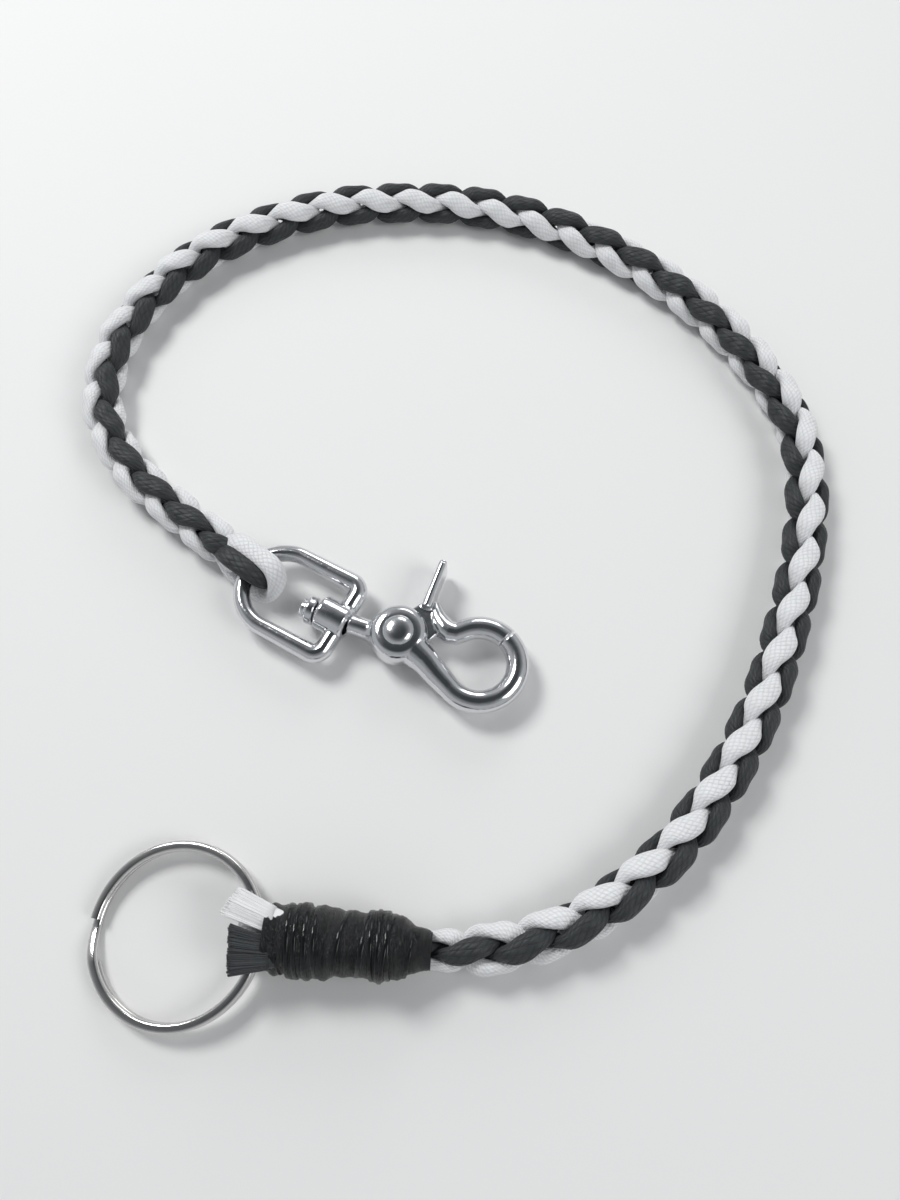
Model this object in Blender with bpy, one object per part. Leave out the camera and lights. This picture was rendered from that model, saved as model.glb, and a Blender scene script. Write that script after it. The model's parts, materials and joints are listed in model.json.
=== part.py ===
"""Braided cord lanyard with a split ring at one end and a swivel snap hook at the other.

Units are metres and +Z is up. The lanyard lies on the plane z = 0. The origin is under the
middle of its hardware, +X runs along the bound end, from the split ring towards the braid,
and +Y points from that end to the eye of the snap hook.
"""
import math

import bmesh
import bpy
from mathutils import Matrix, Vector

# Clearances
GAP = 0.0003                  # between pieces that touch
RUNNING_GAP = 0.0002          # between pieces that slide on each other

# Split ring: flat wire, almost two turns
RING_OUTER_RADIUS = 0.0174
RING_WIRE_WIDTH = 0.0019      # along the ring's radius
RING_WIRE_HEIGHT = 0.0014     # along the ring's axis
RING_TURN_GAP = 0.00015
RING_STEP_ANGLE = 26.0        # degrees over which a turn climbs to the next
RING_START_ANGLE = 200.0      # degrees, where the lower turn begins
RING_HEADING = -2.0           # degrees from +X, from the ring's middle to its hinge

# Bound end: waxed thread wound round the strands
BINDING_START = (-0.0080, -0.0337)
BINDING_END = (0.0231, -0.0360)
BINDING_WALL = 0.0013
# distance from the ring's side as a share of the length, and outer radius
BINDING_OUTLINE = [
    (0.00, 0.0057), (0.02, 0.0060), (0.10, 0.0063), (0.19, 0.0066), (0.34, 0.0066),
    (0.45, 0.0062), (0.55, 0.0059), (0.63, 0.0064), (0.72, 0.0066), (0.81, 0.0059),
    (0.88, 0.0047), (0.94, 0.0041), (1.00, 0.0033),
]

# Cord loops that hold the split ring
LOOP_WIDTH = 0.0038
LOOP_THICKNESS = 0.0019
LOOP_SPACING = 0.0042
LOOP_ROOM = 0.00245           # radius of the space that the ring's wire turns in

# Cut cord ends above the loops: corners from the binding's face, x away from it
TAIL_THICKNESS = 0.0017
WHITE_TAIL = [(0.0, 0.0003), (0.0082, 0.0036), (0.0053, 0.0084), (0.0, 0.0050)]
BLACK_TAIL = [(0.0, -0.0052), (0.0052, -0.0070), (0.0062, 0.0018), (0.0, -0.0003)]

# Braid of four strands
BRAID_DIAMETER = 0.0096
BRAID_ROUTE = [
    (0.0238, -0.0360), (0.0325, -0.0360), (0.0415, -0.0345), (0.0500, -0.0315),
    (0.0575, -0.0275), (0.0710, -0.0170), (0.0825, -0.0030), (0.0915, 0.0120),
    (0.0985, 0.0280), (0.1040, 0.0440), (0.1075, 0.0610), (0.1070, 0.0785),
    (0.1000, 0.0950), (0.0905, 0.1090), (0.0780, 0.1215), (0.0640, 0.1315),
    (0.0480, 0.1395), (0.0310, 0.1440), (0.0135, 0.1450), (-0.0035, 0.1435),
    (-0.0200, 0.1380), (-0.0350, 0.1295), (-0.0470, 0.1165), (-0.0545, 0.1005),
    (-0.0550, 0.0835), (-0.0470, 0.0680), (-0.0340, 0.0560), (-0.0225, 0.0469),
]
BRAID_STEP = 0.0062           # between the tube's points
BRAID_SIDES_RESOLUTION = 3

# Snap hook: x runs along its shank towards the jaws, y towards the thumb tab
SNAP_ORIGIN = (0.01545, 0.02567)
SNAP_ANGLE = -20.0
SNAP_HEIGHT = 0.0049          # of the shank's axis over the table
SHANK_RADIUS = 0.0018
SHANK_HEAD_RADIUS = 0.0031
SHANK_HEAD_LENGTH = 0.0028
NECK_RADIUS = 0.0023
BODY_THICKNESS = 0.0076
CHEEK_RADIUS = 0.0063
CHEEK_ROUNDING = 0.0012
RIVET_OFFSET = 0.0011         # from the shank's axis to the rivet's
JAW_CENTRE = (0.0182, 0.0008)
JAW_RADIUS = 0.00815          # of the bar's centre line
JAW_BAR_RADIUS = 0.00245
TIP_ANGLE = 62.0              # where the two jaws meet
TIP_STEP = 2.0                # last short step of each jaw, which squares its end

# Trigger
SLOT_WIDTH = 0.0034
HUB_RADIUS = 0.0044
HUB_THICKNESS = 0.0029
TAB_THICKNESS = 0.0019
TAB_WIDTH = 0.0072
TAB_LENGTH = 0.0120
# where the upper jaw runs round the cheeks to the tab: x, y from the rivet, and radius
TRIGGER_ROOT = [(0.0099, 0.0037, 0.0026), (0.0082, 0.0048, 0.0024),
                (0.0063, 0.0064, 0.0021), (0.0047, 0.0082, 0.0016)]

# Rivet and spring
RIVET_RADIUS = 0.0014
RIVET_HEAD_RADIUS = 0.0035
RIVET_HEAD_HEIGHT = 0.0010    # over the cheek
RIVET_SEAT_DEPTH = 0.0006
SPRING_WIRE_RADIUS = 0.00025
SPRING_RADIUS = 0.0025
SPRING_TURNS = 2.25
SPRING_PITCH = 0.00065

# Swivel eye: x runs along its own middle line, towards the snap
EYE_ANGLE = -29.0
EYE_DISTANCE = 0.01464        # from the snap's origin to the middle of the eye's boss
EYE_LENGTH = 0.0273
EYE_WIDTH = 0.0218
EYE_WIRE = 0.0037
EYE_CORNER_RADIUS = 0.0042    # outside, at the flat end
BOSS_LENGTH = 0.0071
BOSS_RADIUS = 0.0038

# Cord bights round the eye's far end
BIGHT_POSITION = 172.0        # degrees round the eye's arc
BIGHT_WIDTH = 0.0038
BIGHT_THICKNESS = 0.0027
BIGHT_SPACING = 0.0042
BIGHT_ROOM_BELOW = 0.0003     # between the eye's wire and the cord under it
BIGHT_ROOM_ABOVE = 0.0010
WHITE_BIGHT_REACH = 0.0022    # how far the bend's centre lies inside the eye's wire
BLACK_BIGHT_REACH = 0.0008

WHITE_CORD = ("white_cord", (0.86, 0.87, 0.88), 0.75, 0.0)
BLACK_CORD = ("black_cord", (0.045, 0.052, 0.058), 0.7, 0.0)
BRAID_COLOUR = ("braided_cord", (0.45, 0.46, 0.47), 0.75, 0.0)
WAXED_THREAD = ("waxed_thread", (0.012, 0.013, 0.015), 0.35, 0.0)
NICKEL = ("nickel_plated_steel", (0.62, 0.61, 0.60), 0.2, 1.0)
CHROME = ("chromed_zinc", (0.66, 0.68, 0.70), 0.12, 1.0)
RIVET_STEEL = ("plated_rivet", (0.60, 0.61, 0.63), 0.16, 1.0)
SPRING_STEEL = ("spring_steel", (0.45, 0.45, 0.46), 0.3, 1.0)


def clear_scene():
    """Remove every object that the file opens with."""
    for existing in list(bpy.data.objects):
        bpy.data.objects.remove(existing, do_unlink=True)


def material(finish):
    """Return the Principled material of a (name, colour, roughness, metallic) finish."""
    name, colour, roughness, metallic = finish
    made = bpy.data.materials.get(name)
    if made is None:
        made = bpy.data.materials.new(name)
        made.use_nodes = True
        shader = made.node_tree.nodes["Principled BSDF"]
        shader.inputs["Base Color"].default_value = (*colour, 1.0)
        shader.inputs["Roughness"].default_value = roughness
        shader.inputs["Metallic"].default_value = metallic
    return made


def place(data, name, finish=None, parent=None, location=(0, 0, 0), turn=None):
    """Put mesh or curve data in the scene as a named object."""
    made = bpy.data.objects.new(name, data)
    bpy.context.scene.collection.objects.link(made)
    made.location = location
    if turn is not None:
        made.rotation_euler = turn.to_euler()
    if parent is not None:
        made.parent = parent
    if finish is not None:
        made.data.materials.append(material(finish))
    return made


def guide(made):
    """Hide a cutter or a section, which isn't a piece."""
    made.hide_render = True
    made.display_type = "WIRE"
    return made


def empty(name, location, angle):
    """Add a frame that pieces are placed in, turned about +Z by an angle in degrees."""
    made = bpy.data.objects.new(name, None)
    bpy.context.scene.collection.objects.link(made)
    made.location = location
    made.rotation_euler = (0.0, 0.0, math.radians(angle))
    return made


def finish_mesh(shape, name, smooth=True):
    """Turn a bmesh into a mesh with its faces pointing out."""
    bmesh.ops.remove_doubles(shape, verts=shape.verts, dist=1e-7)
    bmesh.ops.recalc_face_normals(shape, faces=shape.faces)
    data = bpy.data.meshes.new(name)
    shape.to_mesh(data)
    shape.free()
    if smooth:
        data.shade_smooth()
        data.set_sharp_from_angle(angle=math.radians(35))
    return data


def turned(name, outline, steps=24):
    """Spin an outline of (height, radius) points about +Z, from one end to the other."""
    shape = bmesh.new()
    points = [shape.verts.new((radius, 0.0, height)) for height, radius in outline]
    edges = [shape.edges.new(pair) for pair in zip(points, points[1:])]
    if outline[0] == outline[-1]:
        edges.pop()
        edges.append(shape.edges.new((points[-2], points[0])))
        shape.verts.remove(points[-1])
        points.pop()
    bmesh.ops.spin(shape, geom=points + edges, axis=(0, 0, 1), cent=(0, 0, 0),
                   dvec=(0, 0, 0), angle=math.tau, steps=steps, use_merge=True,
                   use_normal_flip=False, use_duplicate=False)
    return finish_mesh(shape, name)


def plate(name, outline, low, high):
    """Extrude a flat outline of (x, y) points from one height to another."""
    shape = bmesh.new()
    face = shape.faces.new([shape.verts.new((x, y, low)) for x, y in outline])
    grown = bmesh.ops.extrude_face_region(shape, geom=[face])["geom"]
    upper = [item for item in grown if isinstance(item, bmesh.types.BMVert)]
    bmesh.ops.translate(shape, verts=upper, vec=(0, 0, high - low))
    return finish_mesh(shape, name)


def path_curve(name, points, radii=None, cyclic=False):
    """Return a curve of one straight-sided spline through the points."""
    data = bpy.data.curves.new(name, "CURVE")
    data.dimensions = "3D"
    data.use_fill_caps = not cyclic
    spline = data.splines.new("POLY")
    spline.points.add(len(points) - 1)
    spline.use_cyclic_u = cyclic
    for index, (target, point) in enumerate(zip(spline.points, points)):
        target.co = (*point, 1.0)
        target.radius = 1.0 if radii is None else radii[index]
    return data


def solid_of(curve):
    """Turn a swept curve into a mesh that modifiers can work on."""
    sweep = place(curve, curve.name + "_sweep")
    ready = sweep.evaluated_get(bpy.context.evaluated_depsgraph_get())
    shape = bmesh.new()
    shape.from_mesh(ready.to_mesh())
    bpy.data.objects.remove(sweep, do_unlink=True)
    return finish_mesh(shape, curve.name)


def round_bar(name, points, radius, radii=None, cyclic=False, resolution=3):
    """Return a bar of round section along the points; radii scale it at each one."""
    data = path_curve(name, points, radii, cyclic)
    data.bevel_depth = radius
    data.bevel_resolution = resolution
    return solid_of(data)


def strap(name, points, width, thickness, upright=False):
    """Return a bar of flat section with rounded edges along the points."""
    section = section_curve(name + "_section", width, thickness)
    data = path_curve(name, points)
    data.bevel_mode = "OBJECT"
    data.bevel_object = section
    data.twist_mode = "Z_UP" if upright else "MINIMUM"
    return solid_of(data)


def section_curve(name, width, thickness, corner_share=0.35, corner_steps=2):
    """Add a closed rounded rectangle to sweep, width along its x."""
    corner = corner_share * thickness
    points = []
    for quarter in range(4):
        side_x = 1 if quarter in (0, 3) else -1
        side_y = 1 if quarter in (0, 1) else -1
        middle = (side_x * (width / 2 - corner), side_y * (thickness / 2 - corner))
        for step in range(corner_steps + 1):
            angle = math.radians(90 * (quarter + step / corner_steps))
            points.append((middle[0] + corner * math.cos(angle),
                           middle[1] + corner * math.sin(angle), 0.0))
    data = path_curve(name, points, cyclic=True)
    data.dimensions = "2D"
    data.fill_mode = "NONE"
    return guide(place(data, name))


def combine(target, other, operation):
    """Join a solid to the target, or cut it away, and keep it only as a guide."""
    step = target.modifiers.new(other.name, "BOOLEAN")
    step.operation = operation
    step.solver = "EXACT"
    step.object = guide(other)


def arc(centre, radius, start, end, steps):
    """Return (x, y) points on an arc, angles in degrees."""
    turns = [math.radians(start + (end - start) * step / steps) for step in range(steps + 1)]
    return [(centre[0] + radius * math.cos(turn), centre[1] + radius * math.sin(turn))
            for turn in turns]


def along(start, end, share):
    """Return the point that lies a share of the way from start to end."""
    return start.lerp(end, share)


def smooth_route(points, step):
    """Read evenly spaced points off a Catmull-Rom curve through a flat route."""
    knots = [Vector(point) for point in points]
    knots = [2 * knots[0] - knots[1]] + knots + [2 * knots[-1] - knots[-2]]
    fine = []
    for first, second, third, fourth in zip(knots, knots[1:], knots[2:], knots[3:]):
        for part in range(20):
            t = part / 20
            fine.append(0.5 * (2 * second + (third - first) * t
                               + (2 * first - 5 * second + 4 * third - fourth) * t ** 2
                               + (3 * second - first - 3 * third + fourth) * t ** 3))
    fine.append(knots[-2])
    length = sum((b - a).length for a, b in zip(fine, fine[1:]))
    count = round(length / step)
    evenly, walked, target = [fine[0]], 0.0, length / count
    for a, b in zip(fine, fine[1:]):
        piece = (b - a).length
        while walked + piece >= target - 1e-12 and len(evenly) < count:
            evenly.append(along(a, b, (target - walked) / piece))
            target += length / count
        walked += piece
    evenly.append(fine[-1])
    return evenly


# ---------------------------------------------------------------- frames shared by pieces

SHANK_AXIS = Vector((math.cos(math.radians(SNAP_ANGLE)), math.sin(math.radians(SNAP_ANGLE)), 0))
EYE_AXIS = Vector((math.cos(math.radians(EYE_ANGLE)), math.sin(math.radians(EYE_ANGLE)), 0))
EYE_ACROSS = Vector((-EYE_AXIS.y, EYE_AXIS.x, 0))
SNAP_PLACE = Vector((*SNAP_ORIGIN, SNAP_HEIGHT))
RIVET_PLACE = Vector((0.0, RIVET_OFFSET, 0.0))           # in the snap's frame
BOSS_MIDDLE = SNAP_PLACE - EYE_DISTANCE * SHANK_AXIS

EYE_WIRE_RADIUS = EYE_WIRE / 2
EYE_ARC_RADIUS = (EYE_WIDTH - EYE_WIRE) / 2
EYE_COCK = math.radians(SNAP_ANGLE - EYE_ANGLE)          # between the shank and the eye
BORE_RADIUS = (SHANK_RADIUS / math.cos(EYE_COCK)
               + BOSS_LENGTH / 2 * math.tan(EYE_COCK) + RUNNING_GAP)


def swivel_eye():
    """Model the D-shaped eye with the boss that the shank turns in."""
    frame = empty("eye_frame", BOSS_MIDDLE, EYE_ANGLE)
    flat_end = BOSS_LENGTH / 2 - EYE_WIRE_RADIUS
    arc_centre = (BOSS_LENGTH / 2 - EYE_LENGTH + EYE_WIDTH / 2, 0.0)
    corner = EYE_CORNER_RADIUS - EYE_WIRE_RADIUS
    side = EYE_ARC_RADIUS - corner
    outline = arc(arc_centre, EYE_ARC_RADIUS, 90, 270, 20)
    outline += arc((flat_end - corner, -side), corner, 270, 360, 5)
    outline += arc((flat_end - corner, side), corner, 0, 90, 5)
    wire = round_bar("swivel_eye", [(x, y, 0.0) for x, y in outline], EYE_WIRE_RADIUS,
                     cyclic=True, resolution=4)
    eye = place(wire, "swivel_eye", CHROME, frame)
    lying = Matrix.Rotation(math.radians(90), 3, "Y")
    boss = turned("eye_boss", [(-BOSS_LENGTH / 2, 0.0), (-BOSS_LENGTH / 2, BOSS_RADIUS),
                               (BOSS_LENGTH / 2, BOSS_RADIUS), (BOSS_LENGTH / 2, 0.0)])
    combine(eye, place(boss, "eye_boss", parent=frame, turn=lying), "UNION")
    bore = turned("eye_bore", [(-BOSS_LENGTH, 0.0), (-BOSS_LENGTH, BORE_RADIUS),
                               (BOSS_LENGTH, BORE_RADIUS), (BOSS_LENGTH, 0.0)])
    combine(eye, place(bore, "eye_bore", parent=frame, turn=lying), "DIFFERENCE")
    return arc_centre


def shank_outline():
    """Return the shank's turned outline, from its peened head to inside the cheeks."""
    tilt_room = BORE_RADIUS * math.tan(EYE_COCK) + RUNNING_GAP
    head_end = BOSS_LENGTH / 2 / math.cos(EYE_COCK) + SHANK_HEAD_RADIUS * math.tan(EYE_COCK)
    head_start = -EYE_DISTANCE - head_end - RUNNING_GAP
    neck_start = -EYE_DISTANCE + head_end + tilt_room
    crown = 0.3 * SHANK_HEAD_LENGTH
    return [
        (head_start - SHANK_HEAD_LENGTH, 0.0),
        (head_start - SHANK_HEAD_LENGTH, SHANK_HEAD_RADIUS - crown),
        (head_start - SHANK_HEAD_LENGTH + crown, SHANK_HEAD_RADIUS),
        (head_start, SHANK_HEAD_RADIUS),
        (head_start, SHANK_RADIUS),
        (neck_start, SHANK_RADIUS),
        (neck_start, 0.8 * NECK_RADIUS),
        (neck_start + 0.0008, NECK_RADIUS),
        (-CHEEK_RADIUS, 0.95 * NECK_RADIUS),
        (-0.4 * CHEEK_RADIUS, NECK_RADIUS),
        (-0.4 * CHEEK_RADIUS, 0.0),
    ]


def hook_route():
    """Return the fixed jaw's centre line and its radius at each point, cheek to tip."""
    arm = [(0.0015, 0.0002, 1.50), (0.0045, -0.0010, 1.46), (0.0076, -0.0024, 1.30),
           (0.0107, -0.0044, 1.12)]
    last_angle = TIP_ANGLE - math.degrees(GAP / 2 / JAW_RADIUS)
    bend = arc(JAW_CENTRE, JAW_RADIUS, -122, last_angle - TIP_STEP, 18)
    bend += arc(JAW_CENTRE, JAW_RADIUS, last_angle, last_angle, 1)[:1]
    return arm + [(x, y, 1.0) for x, y in bend]


def snap_body(frame):
    """Model the cast body: shank, two cheeks with a slot between them, and the fixed jaw."""
    half = BODY_THICKNESS / 2
    rounding = CHEEK_ROUNDING
    cheek = turned("snap_body", [
        (-half, 0.0), (-half, CHEEK_RADIUS - rounding),
        (-half + 0.3 * rounding, CHEEK_RADIUS - 0.3 * rounding),
        (-half + rounding, CHEEK_RADIUS), (half - rounding, CHEEK_RADIUS),
        (half - 0.3 * rounding, CHEEK_RADIUS - 0.3 * rounding),
        (half, CHEEK_RADIUS - rounding), (half, 0.0)], steps=32)
    cheek.transform(Matrix.Translation(RIVET_PLACE))
    body = place(cheek, "snap_body", CHROME, frame)

    lying = Matrix.Rotation(math.radians(90), 3, "Y")
    shank = turned("shank", shank_outline())
    combine(body, place(shank, "shank", parent=frame, turn=lying), "UNION")

    route = hook_route()
    bar = round_bar("fixed_jaw", [(x, y, 0.0) for x, y, _ in route], JAW_BAR_RADIUS,
                    [scale for _, _, scale in route], resolution=4)
    combine(body, place(bar, "fixed_jaw", parent=frame), "UNION")

    reach = 2 * CHEEK_RADIUS
    room = HUB_RADIUS + GAP
    middle = (RIVET_PLACE.x, RIVET_PLACE.y)
    slot_outline = arc(middle, room, 142, 348, 20) + arc(middle, reach, -12, 142, 7)
    slot = plate("trigger_slot", slot_outline, -SLOT_WIDTH / 2, SLOT_WIDTH / 2)
    combine(body, place(slot, "trigger_slot", parent=frame), "DIFFERENCE")

    seat = half - RIVET_SEAT_DEPTH
    hole = RIVET_RADIUS + RUNNING_GAP
    seat_radius = RIVET_HEAD_RADIUS + GAP
    drill = turned("rivet_hole", [
        (-2 * half, 0.0), (-2 * half, seat_radius), (-seat, seat_radius), (-seat, hole),
        (seat, hole), (seat, seat_radius), (2 * half, seat_radius), (2 * half, 0.0)])
    combine(body, place(drill, "rivet_hole", parent=frame, location=RIVET_PLACE), "DIFFERENCE")


def pivot_rivet(frame):
    """Model the rivet: a shaft through both cheeks with a domed head on each side."""
    half = BODY_THICKNESS / 2
    under = half - RIVET_SEAT_DEPTH + GAP
    top = half + RIVET_HEAD_HEIGHT
    dome = [(under, RIVET_RADIUS), (under, RIVET_HEAD_RADIUS), (half, RIVET_HEAD_RADIUS)]
    dome += [(half + RIVET_HEAD_HEIGHT * math.sin(math.radians(turn)),
              RIVET_HEAD_RADIUS * (1 - 0.45 * (1 - math.cos(math.radians(turn)))))
             for turn in (30, 60, 90)]
    outline = [(top, 0.0)] + dome[::-1] + [(-height, radius) for height, radius in dome]
    outline.append((-top, 0.0))
    place(turned("pivot_rivet", outline, steps=28), "pivot_rivet", RIVET_STEEL, frame,
          location=RIVET_PLACE)


def trigger(frame):
    """Model the trigger: hub between the cheeks, upper jaw, and thumb tab."""
    pivot = empty("trigger_frame", RIVET_PLACE, 0.0)
    pivot.parent = frame
    half = HUB_THICKNESS / 2
    jaw_x = JAW_CENTRE[0] - RIVET_PLACE.x
    jaw_y = JAW_CENTRE[1] - RIVET_PLACE.y
    tab_x = 0.0035
    tab_start = CHEEK_RADIUS + GAP
    hub_outline = arc((0.0, 0.0), HUB_RADIUS, 100, 352, 24)
    hub_outline += [(0.0090, 0.0005), (0.0098, 0.0046), (0.0056, 0.0072),
                    (tab_x + TAB_THICKNESS / 2, tab_start + 0.002),
                    (tab_x - TAB_THICKNESS / 2, tab_start + 0.002)]
    hub = plate("trigger", hub_outline, -half, half)
    lever = place(hub, "trigger", CHROME, pivot)

    first_angle = TIP_ANGLE + math.degrees(GAP / 2 / JAW_RADIUS)
    bend = arc((jaw_x, jaw_y), JAW_RADIUS, first_angle, first_angle, 1)[:1]
    bend += arc((jaw_x, jaw_y), JAW_RADIUS, first_angle + TIP_STEP, 138, 10)
    route = [(x, y, 0.0) for x, y in bend] + [(x, y, 0.0) for x, y, _ in TRIGGER_ROOT]
    scales = [1.0] * len(bend) + [radius / JAW_BAR_RADIUS for _, _, radius in TRIGGER_ROOT]
    bar = round_bar("upper_jaw", route, JAW_BAR_RADIUS, scales, resolution=4)
    combine(lever, place(bar, "upper_jaw", parent=pivot), "UNION")

    thick = TAB_THICKNESS / 2
    kink = tab_start + 0.25 * TAB_LENGTH
    tip = tab_start + TAB_LENGTH
    tab_outline = [(tab_x - thick, tab_start + 0.0005), (tab_x + thick, tab_start + 0.0005),
                   (tab_x + 1.6 * thick, kink), (tab_x + thick, tip),
                   (tab_x - thick, tip), (tab_x - 0.4 * thick, kink)]
    tab = plate("thumb_tab", tab_outline, -TAB_WIDTH / 2, TAB_WIDTH / 2)
    combine(lever, place(tab, "thumb_tab", parent=pivot), "UNION")

    floor = -half + 0.0008
    pocket_radius = SPRING_RADIUS + SPRING_WIRE_RADIUS + GAP
    hole = RIVET_RADIUS + RUNNING_GAP
    pocket = turned("hub_pocket", [(-2 * half, 0.0), (-2 * half, hole), (floor, hole),
                                   (floor, pocket_radius), (2 * half, pocket_radius),
                                   (2 * half, 0.0)])
    combine(lever, place(pocket, "hub_pocket", parent=pivot), "DIFFERENCE")

    notch_outline = arc((0.0, 0.0), 0.6 * pocket_radius, 160, 225, 4)
    notch_outline += arc((0.0, 0.0), 1.5 * HUB_RADIUS, 225, 160, 4)
    notch = plate("spring_notch", notch_outline, floor, 2 * half)
    combine(lever, place(notch, "spring_notch", parent=pivot), "DIFFERENCE")


def trigger_spring(frame):
    """Model the torsion spring round the rivet, with a leg against the slot's wall."""
    floor = -HUB_THICKNESS / 2 + 0.0008 + RUNNING_GAP + SPRING_WIRE_RADIUS
    steps = 40
    coil = []
    for step in range(steps + 1):
        turn = math.radians(215) - math.tau * SPRING_TURNS * (1 - step / steps)
        rise = SPRING_PITCH * SPRING_TURNS * step / steps
        coil.append((SPRING_RADIUS * math.cos(turn), SPRING_RADIUS * math.sin(turn),
                     floor + rise))
    top = coil[-1][2]
    leg_angle = math.radians(210)
    reach = HUB_RADIUS + GAP - RUNNING_GAP - SPRING_WIRE_RADIUS
    leg = [(share * math.cos(leg_angle), share * math.sin(leg_angle), top)
           for share in (1.12 * SPRING_RADIUS, reach)]
    wire = round_bar("trigger_spring", coil + leg, SPRING_WIRE_RADIUS, resolution=2)
    place(wire, "trigger_spring", SPRING_STEEL, frame, location=RIVET_PLACE)


# ---------------------------------------------------------------- bound end and split ring

BINDING_HEIGHT = max(radius for _, radius in BINDING_OUTLINE) + 0.00005
BINDING_LOW = Vector((*BINDING_START, BINDING_HEIGHT))
BINDING_HIGH = Vector((*BINDING_END, BINDING_HEIGHT))
BINDING_AXIS = (BINDING_HIGH - BINDING_LOW).normalized()
BINDING_LENGTH = (BINDING_HIGH - BINDING_LOW).length
BINDING_FLAT_AXIS = Vector((BINDING_AXIS.x, BINDING_AXIS.y, 0)).normalized()
BINDING_ACROSS = Vector((-BINDING_FLAT_AXIS.y, BINDING_FLAT_AXIS.x, 0))

LOOP_OUTER = LOOP_ROOM + LOOP_THICKNESS
LOOP_HEIGHT = LOOP_OUTER + 0.0003                        # of the ring's hinge over the table
RING_STACK = 2 * RING_WIRE_HEIGHT + RING_TURN_GAP
RING_MIDDLE_RADIUS = RING_OUTER_RADIUS - RING_WIRE_WIDTH / 2
HINGE_DISTANCE = RING_STACK / 2 + GAP                    # from the binding's face
RING_HINGE = BINDING_LOW - HINGE_DISTANCE * BINDING_FLAT_AXIS
RING_HINGE.z = LOOP_HEIGHT
RING_TILT = math.asin((LOOP_HEIGHT - RING_STACK / 2 - 0.0001) / (2 * RING_MIDDLE_RADIUS))


def turned_along(name, outline, start, axis, finish):
    """Place a turned piece with its own +Z along an axis."""
    made = place(turned(name, outline), name, finish, location=start)
    made.rotation_mode = "QUATERNION"
    made.rotation_quaternion = axis.to_track_quat("Z", "Y")
    return made


def binding():
    """Model the thread winding as a sleeve, and the bundle of strands inside it."""
    outer = [(share * BINDING_LENGTH, radius) for share, radius in BINDING_OUTLINE]
    inner_limit = min(radius for share, radius in BINDING_OUTLINE if share < 0.8)
    inner_radius = inner_limit - BINDING_WALL
    inner = [(height, min(radius - BINDING_WALL, inner_radius)) for height, radius in outer]
    inner[0] = (0.0, inner_radius)
    turned_along("whipping_thread", outer + inner[::-1] + outer[:1], BINDING_LOW,
                 BINDING_AXIS, WAXED_THREAD)
    bundle = [(height, radius - RUNNING_GAP) for height, radius in inner
              if height == 0.0 or height > 0.8 * BINDING_LENGTH]
    bundle = [(0.0, 0.0)] + bundle + [(BINDING_LENGTH, 0.0)]
    turned_along("bound_strands", bundle, BINDING_LOW, BINDING_AXIS, BLACK_CORD)


def ring_loops():
    """Model the two cord loops, side by side, that the ring's wire turns in."""
    radius = LOOP_ROOM + LOOP_THICKNESS / 2
    leg = HINGE_DISTANCE - GAP
    bend = arc((0.0, 0.0), radius, 90, 270, 14)
    route = [(leg, radius)] + bend + [(leg, -radius)]
    names = (("white_ring_loop", WHITE_CORD, 0.5), ("black_ring_loop", BLACK_CORD, -0.5))
    for name, finish, side in names:
        middle = RING_HINGE + side * LOOP_SPACING * BINDING_ACROSS
        points = [middle + x * BINDING_FLAT_AXIS + Vector((0, 0, z)) for x, z in route]
        place(strap(name, points, LOOP_WIDTH, LOOP_THICKNESS), name, finish)


def cut_tails():
    """Model the two flared cord ends that stand out over the loops."""
    low = LOOP_HEIGHT + LOOP_OUTER + GAP
    face = BINDING_LOW - GAP * BINDING_FLAT_AXIS
    for name, finish, corners in (("white_tail_end", WHITE_CORD, WHITE_TAIL),
                                  ("black_tail_end", BLACK_CORD, BLACK_TAIL)):
        outline = []
        for away, across in corners:
            point = face - away * BINDING_FLAT_AXIS + across * BINDING_ACROSS
            outline.append((point.x, point.y))
        tail = place(plate(name, outline, low, low + TAIL_THICKNESS), name, finish)
        edge = tail.modifiers.new("soft_edges", "BEVEL")
        edge.width = 0.3 * TAIL_THICKNESS
        edge.segments = 2


def split_ring():
    """Model the split ring as one flat wire, tilted down from its hinge to the table."""
    turns = 720 - RING_STEP_ANGLE - math.degrees(2 * GAP / RING_MIDDLE_RADIUS)
    climb = RING_WIRE_HEIGHT + RING_TURN_GAP
    steps = 72
    points = []
    for step in range(steps + 1):
        angle = turns * step / steps
        share = min(max((angle - (360 - RING_STEP_ANGLE)) / RING_STEP_ANGLE, 0.0), 1.0)
        height = climb * (share * share * (3 - 2 * share) - 0.5)
        heading = math.radians(angle + RING_START_ANGLE)
        points.append((RING_MIDDLE_RADIUS * (math.cos(heading) - 1),
                       RING_MIDDLE_RADIUS * math.sin(heading), height))
    ring = place(strap("split_ring", points, RING_WIRE_WIDTH, RING_WIRE_HEIGHT, upright=True),
                 "split_ring", NICKEL, location=RING_HINGE)
    heading = Matrix.Rotation(math.radians(RING_HEADING), 3, "Z")
    turn = heading @ Matrix.Rotation(-RING_TILT, 3, "Y")
    ring.rotation_euler = turn.to_euler()


# ---------------------------------------------------------------- cord

def braid():
    """Model the four-strand braid as a plain tube along its route on the table."""
    height = BRAID_DIAMETER / 2
    route = [(x, y, height) for x, y in BRAID_ROUTE]
    tube = round_bar("braid", smooth_route(route, BRAID_STEP), BRAID_DIAMETER / 2,
                     resolution=BRAID_SIDES_RESOLUTION)
    place(tube, "braid", BRAID_COLOUR)


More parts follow.
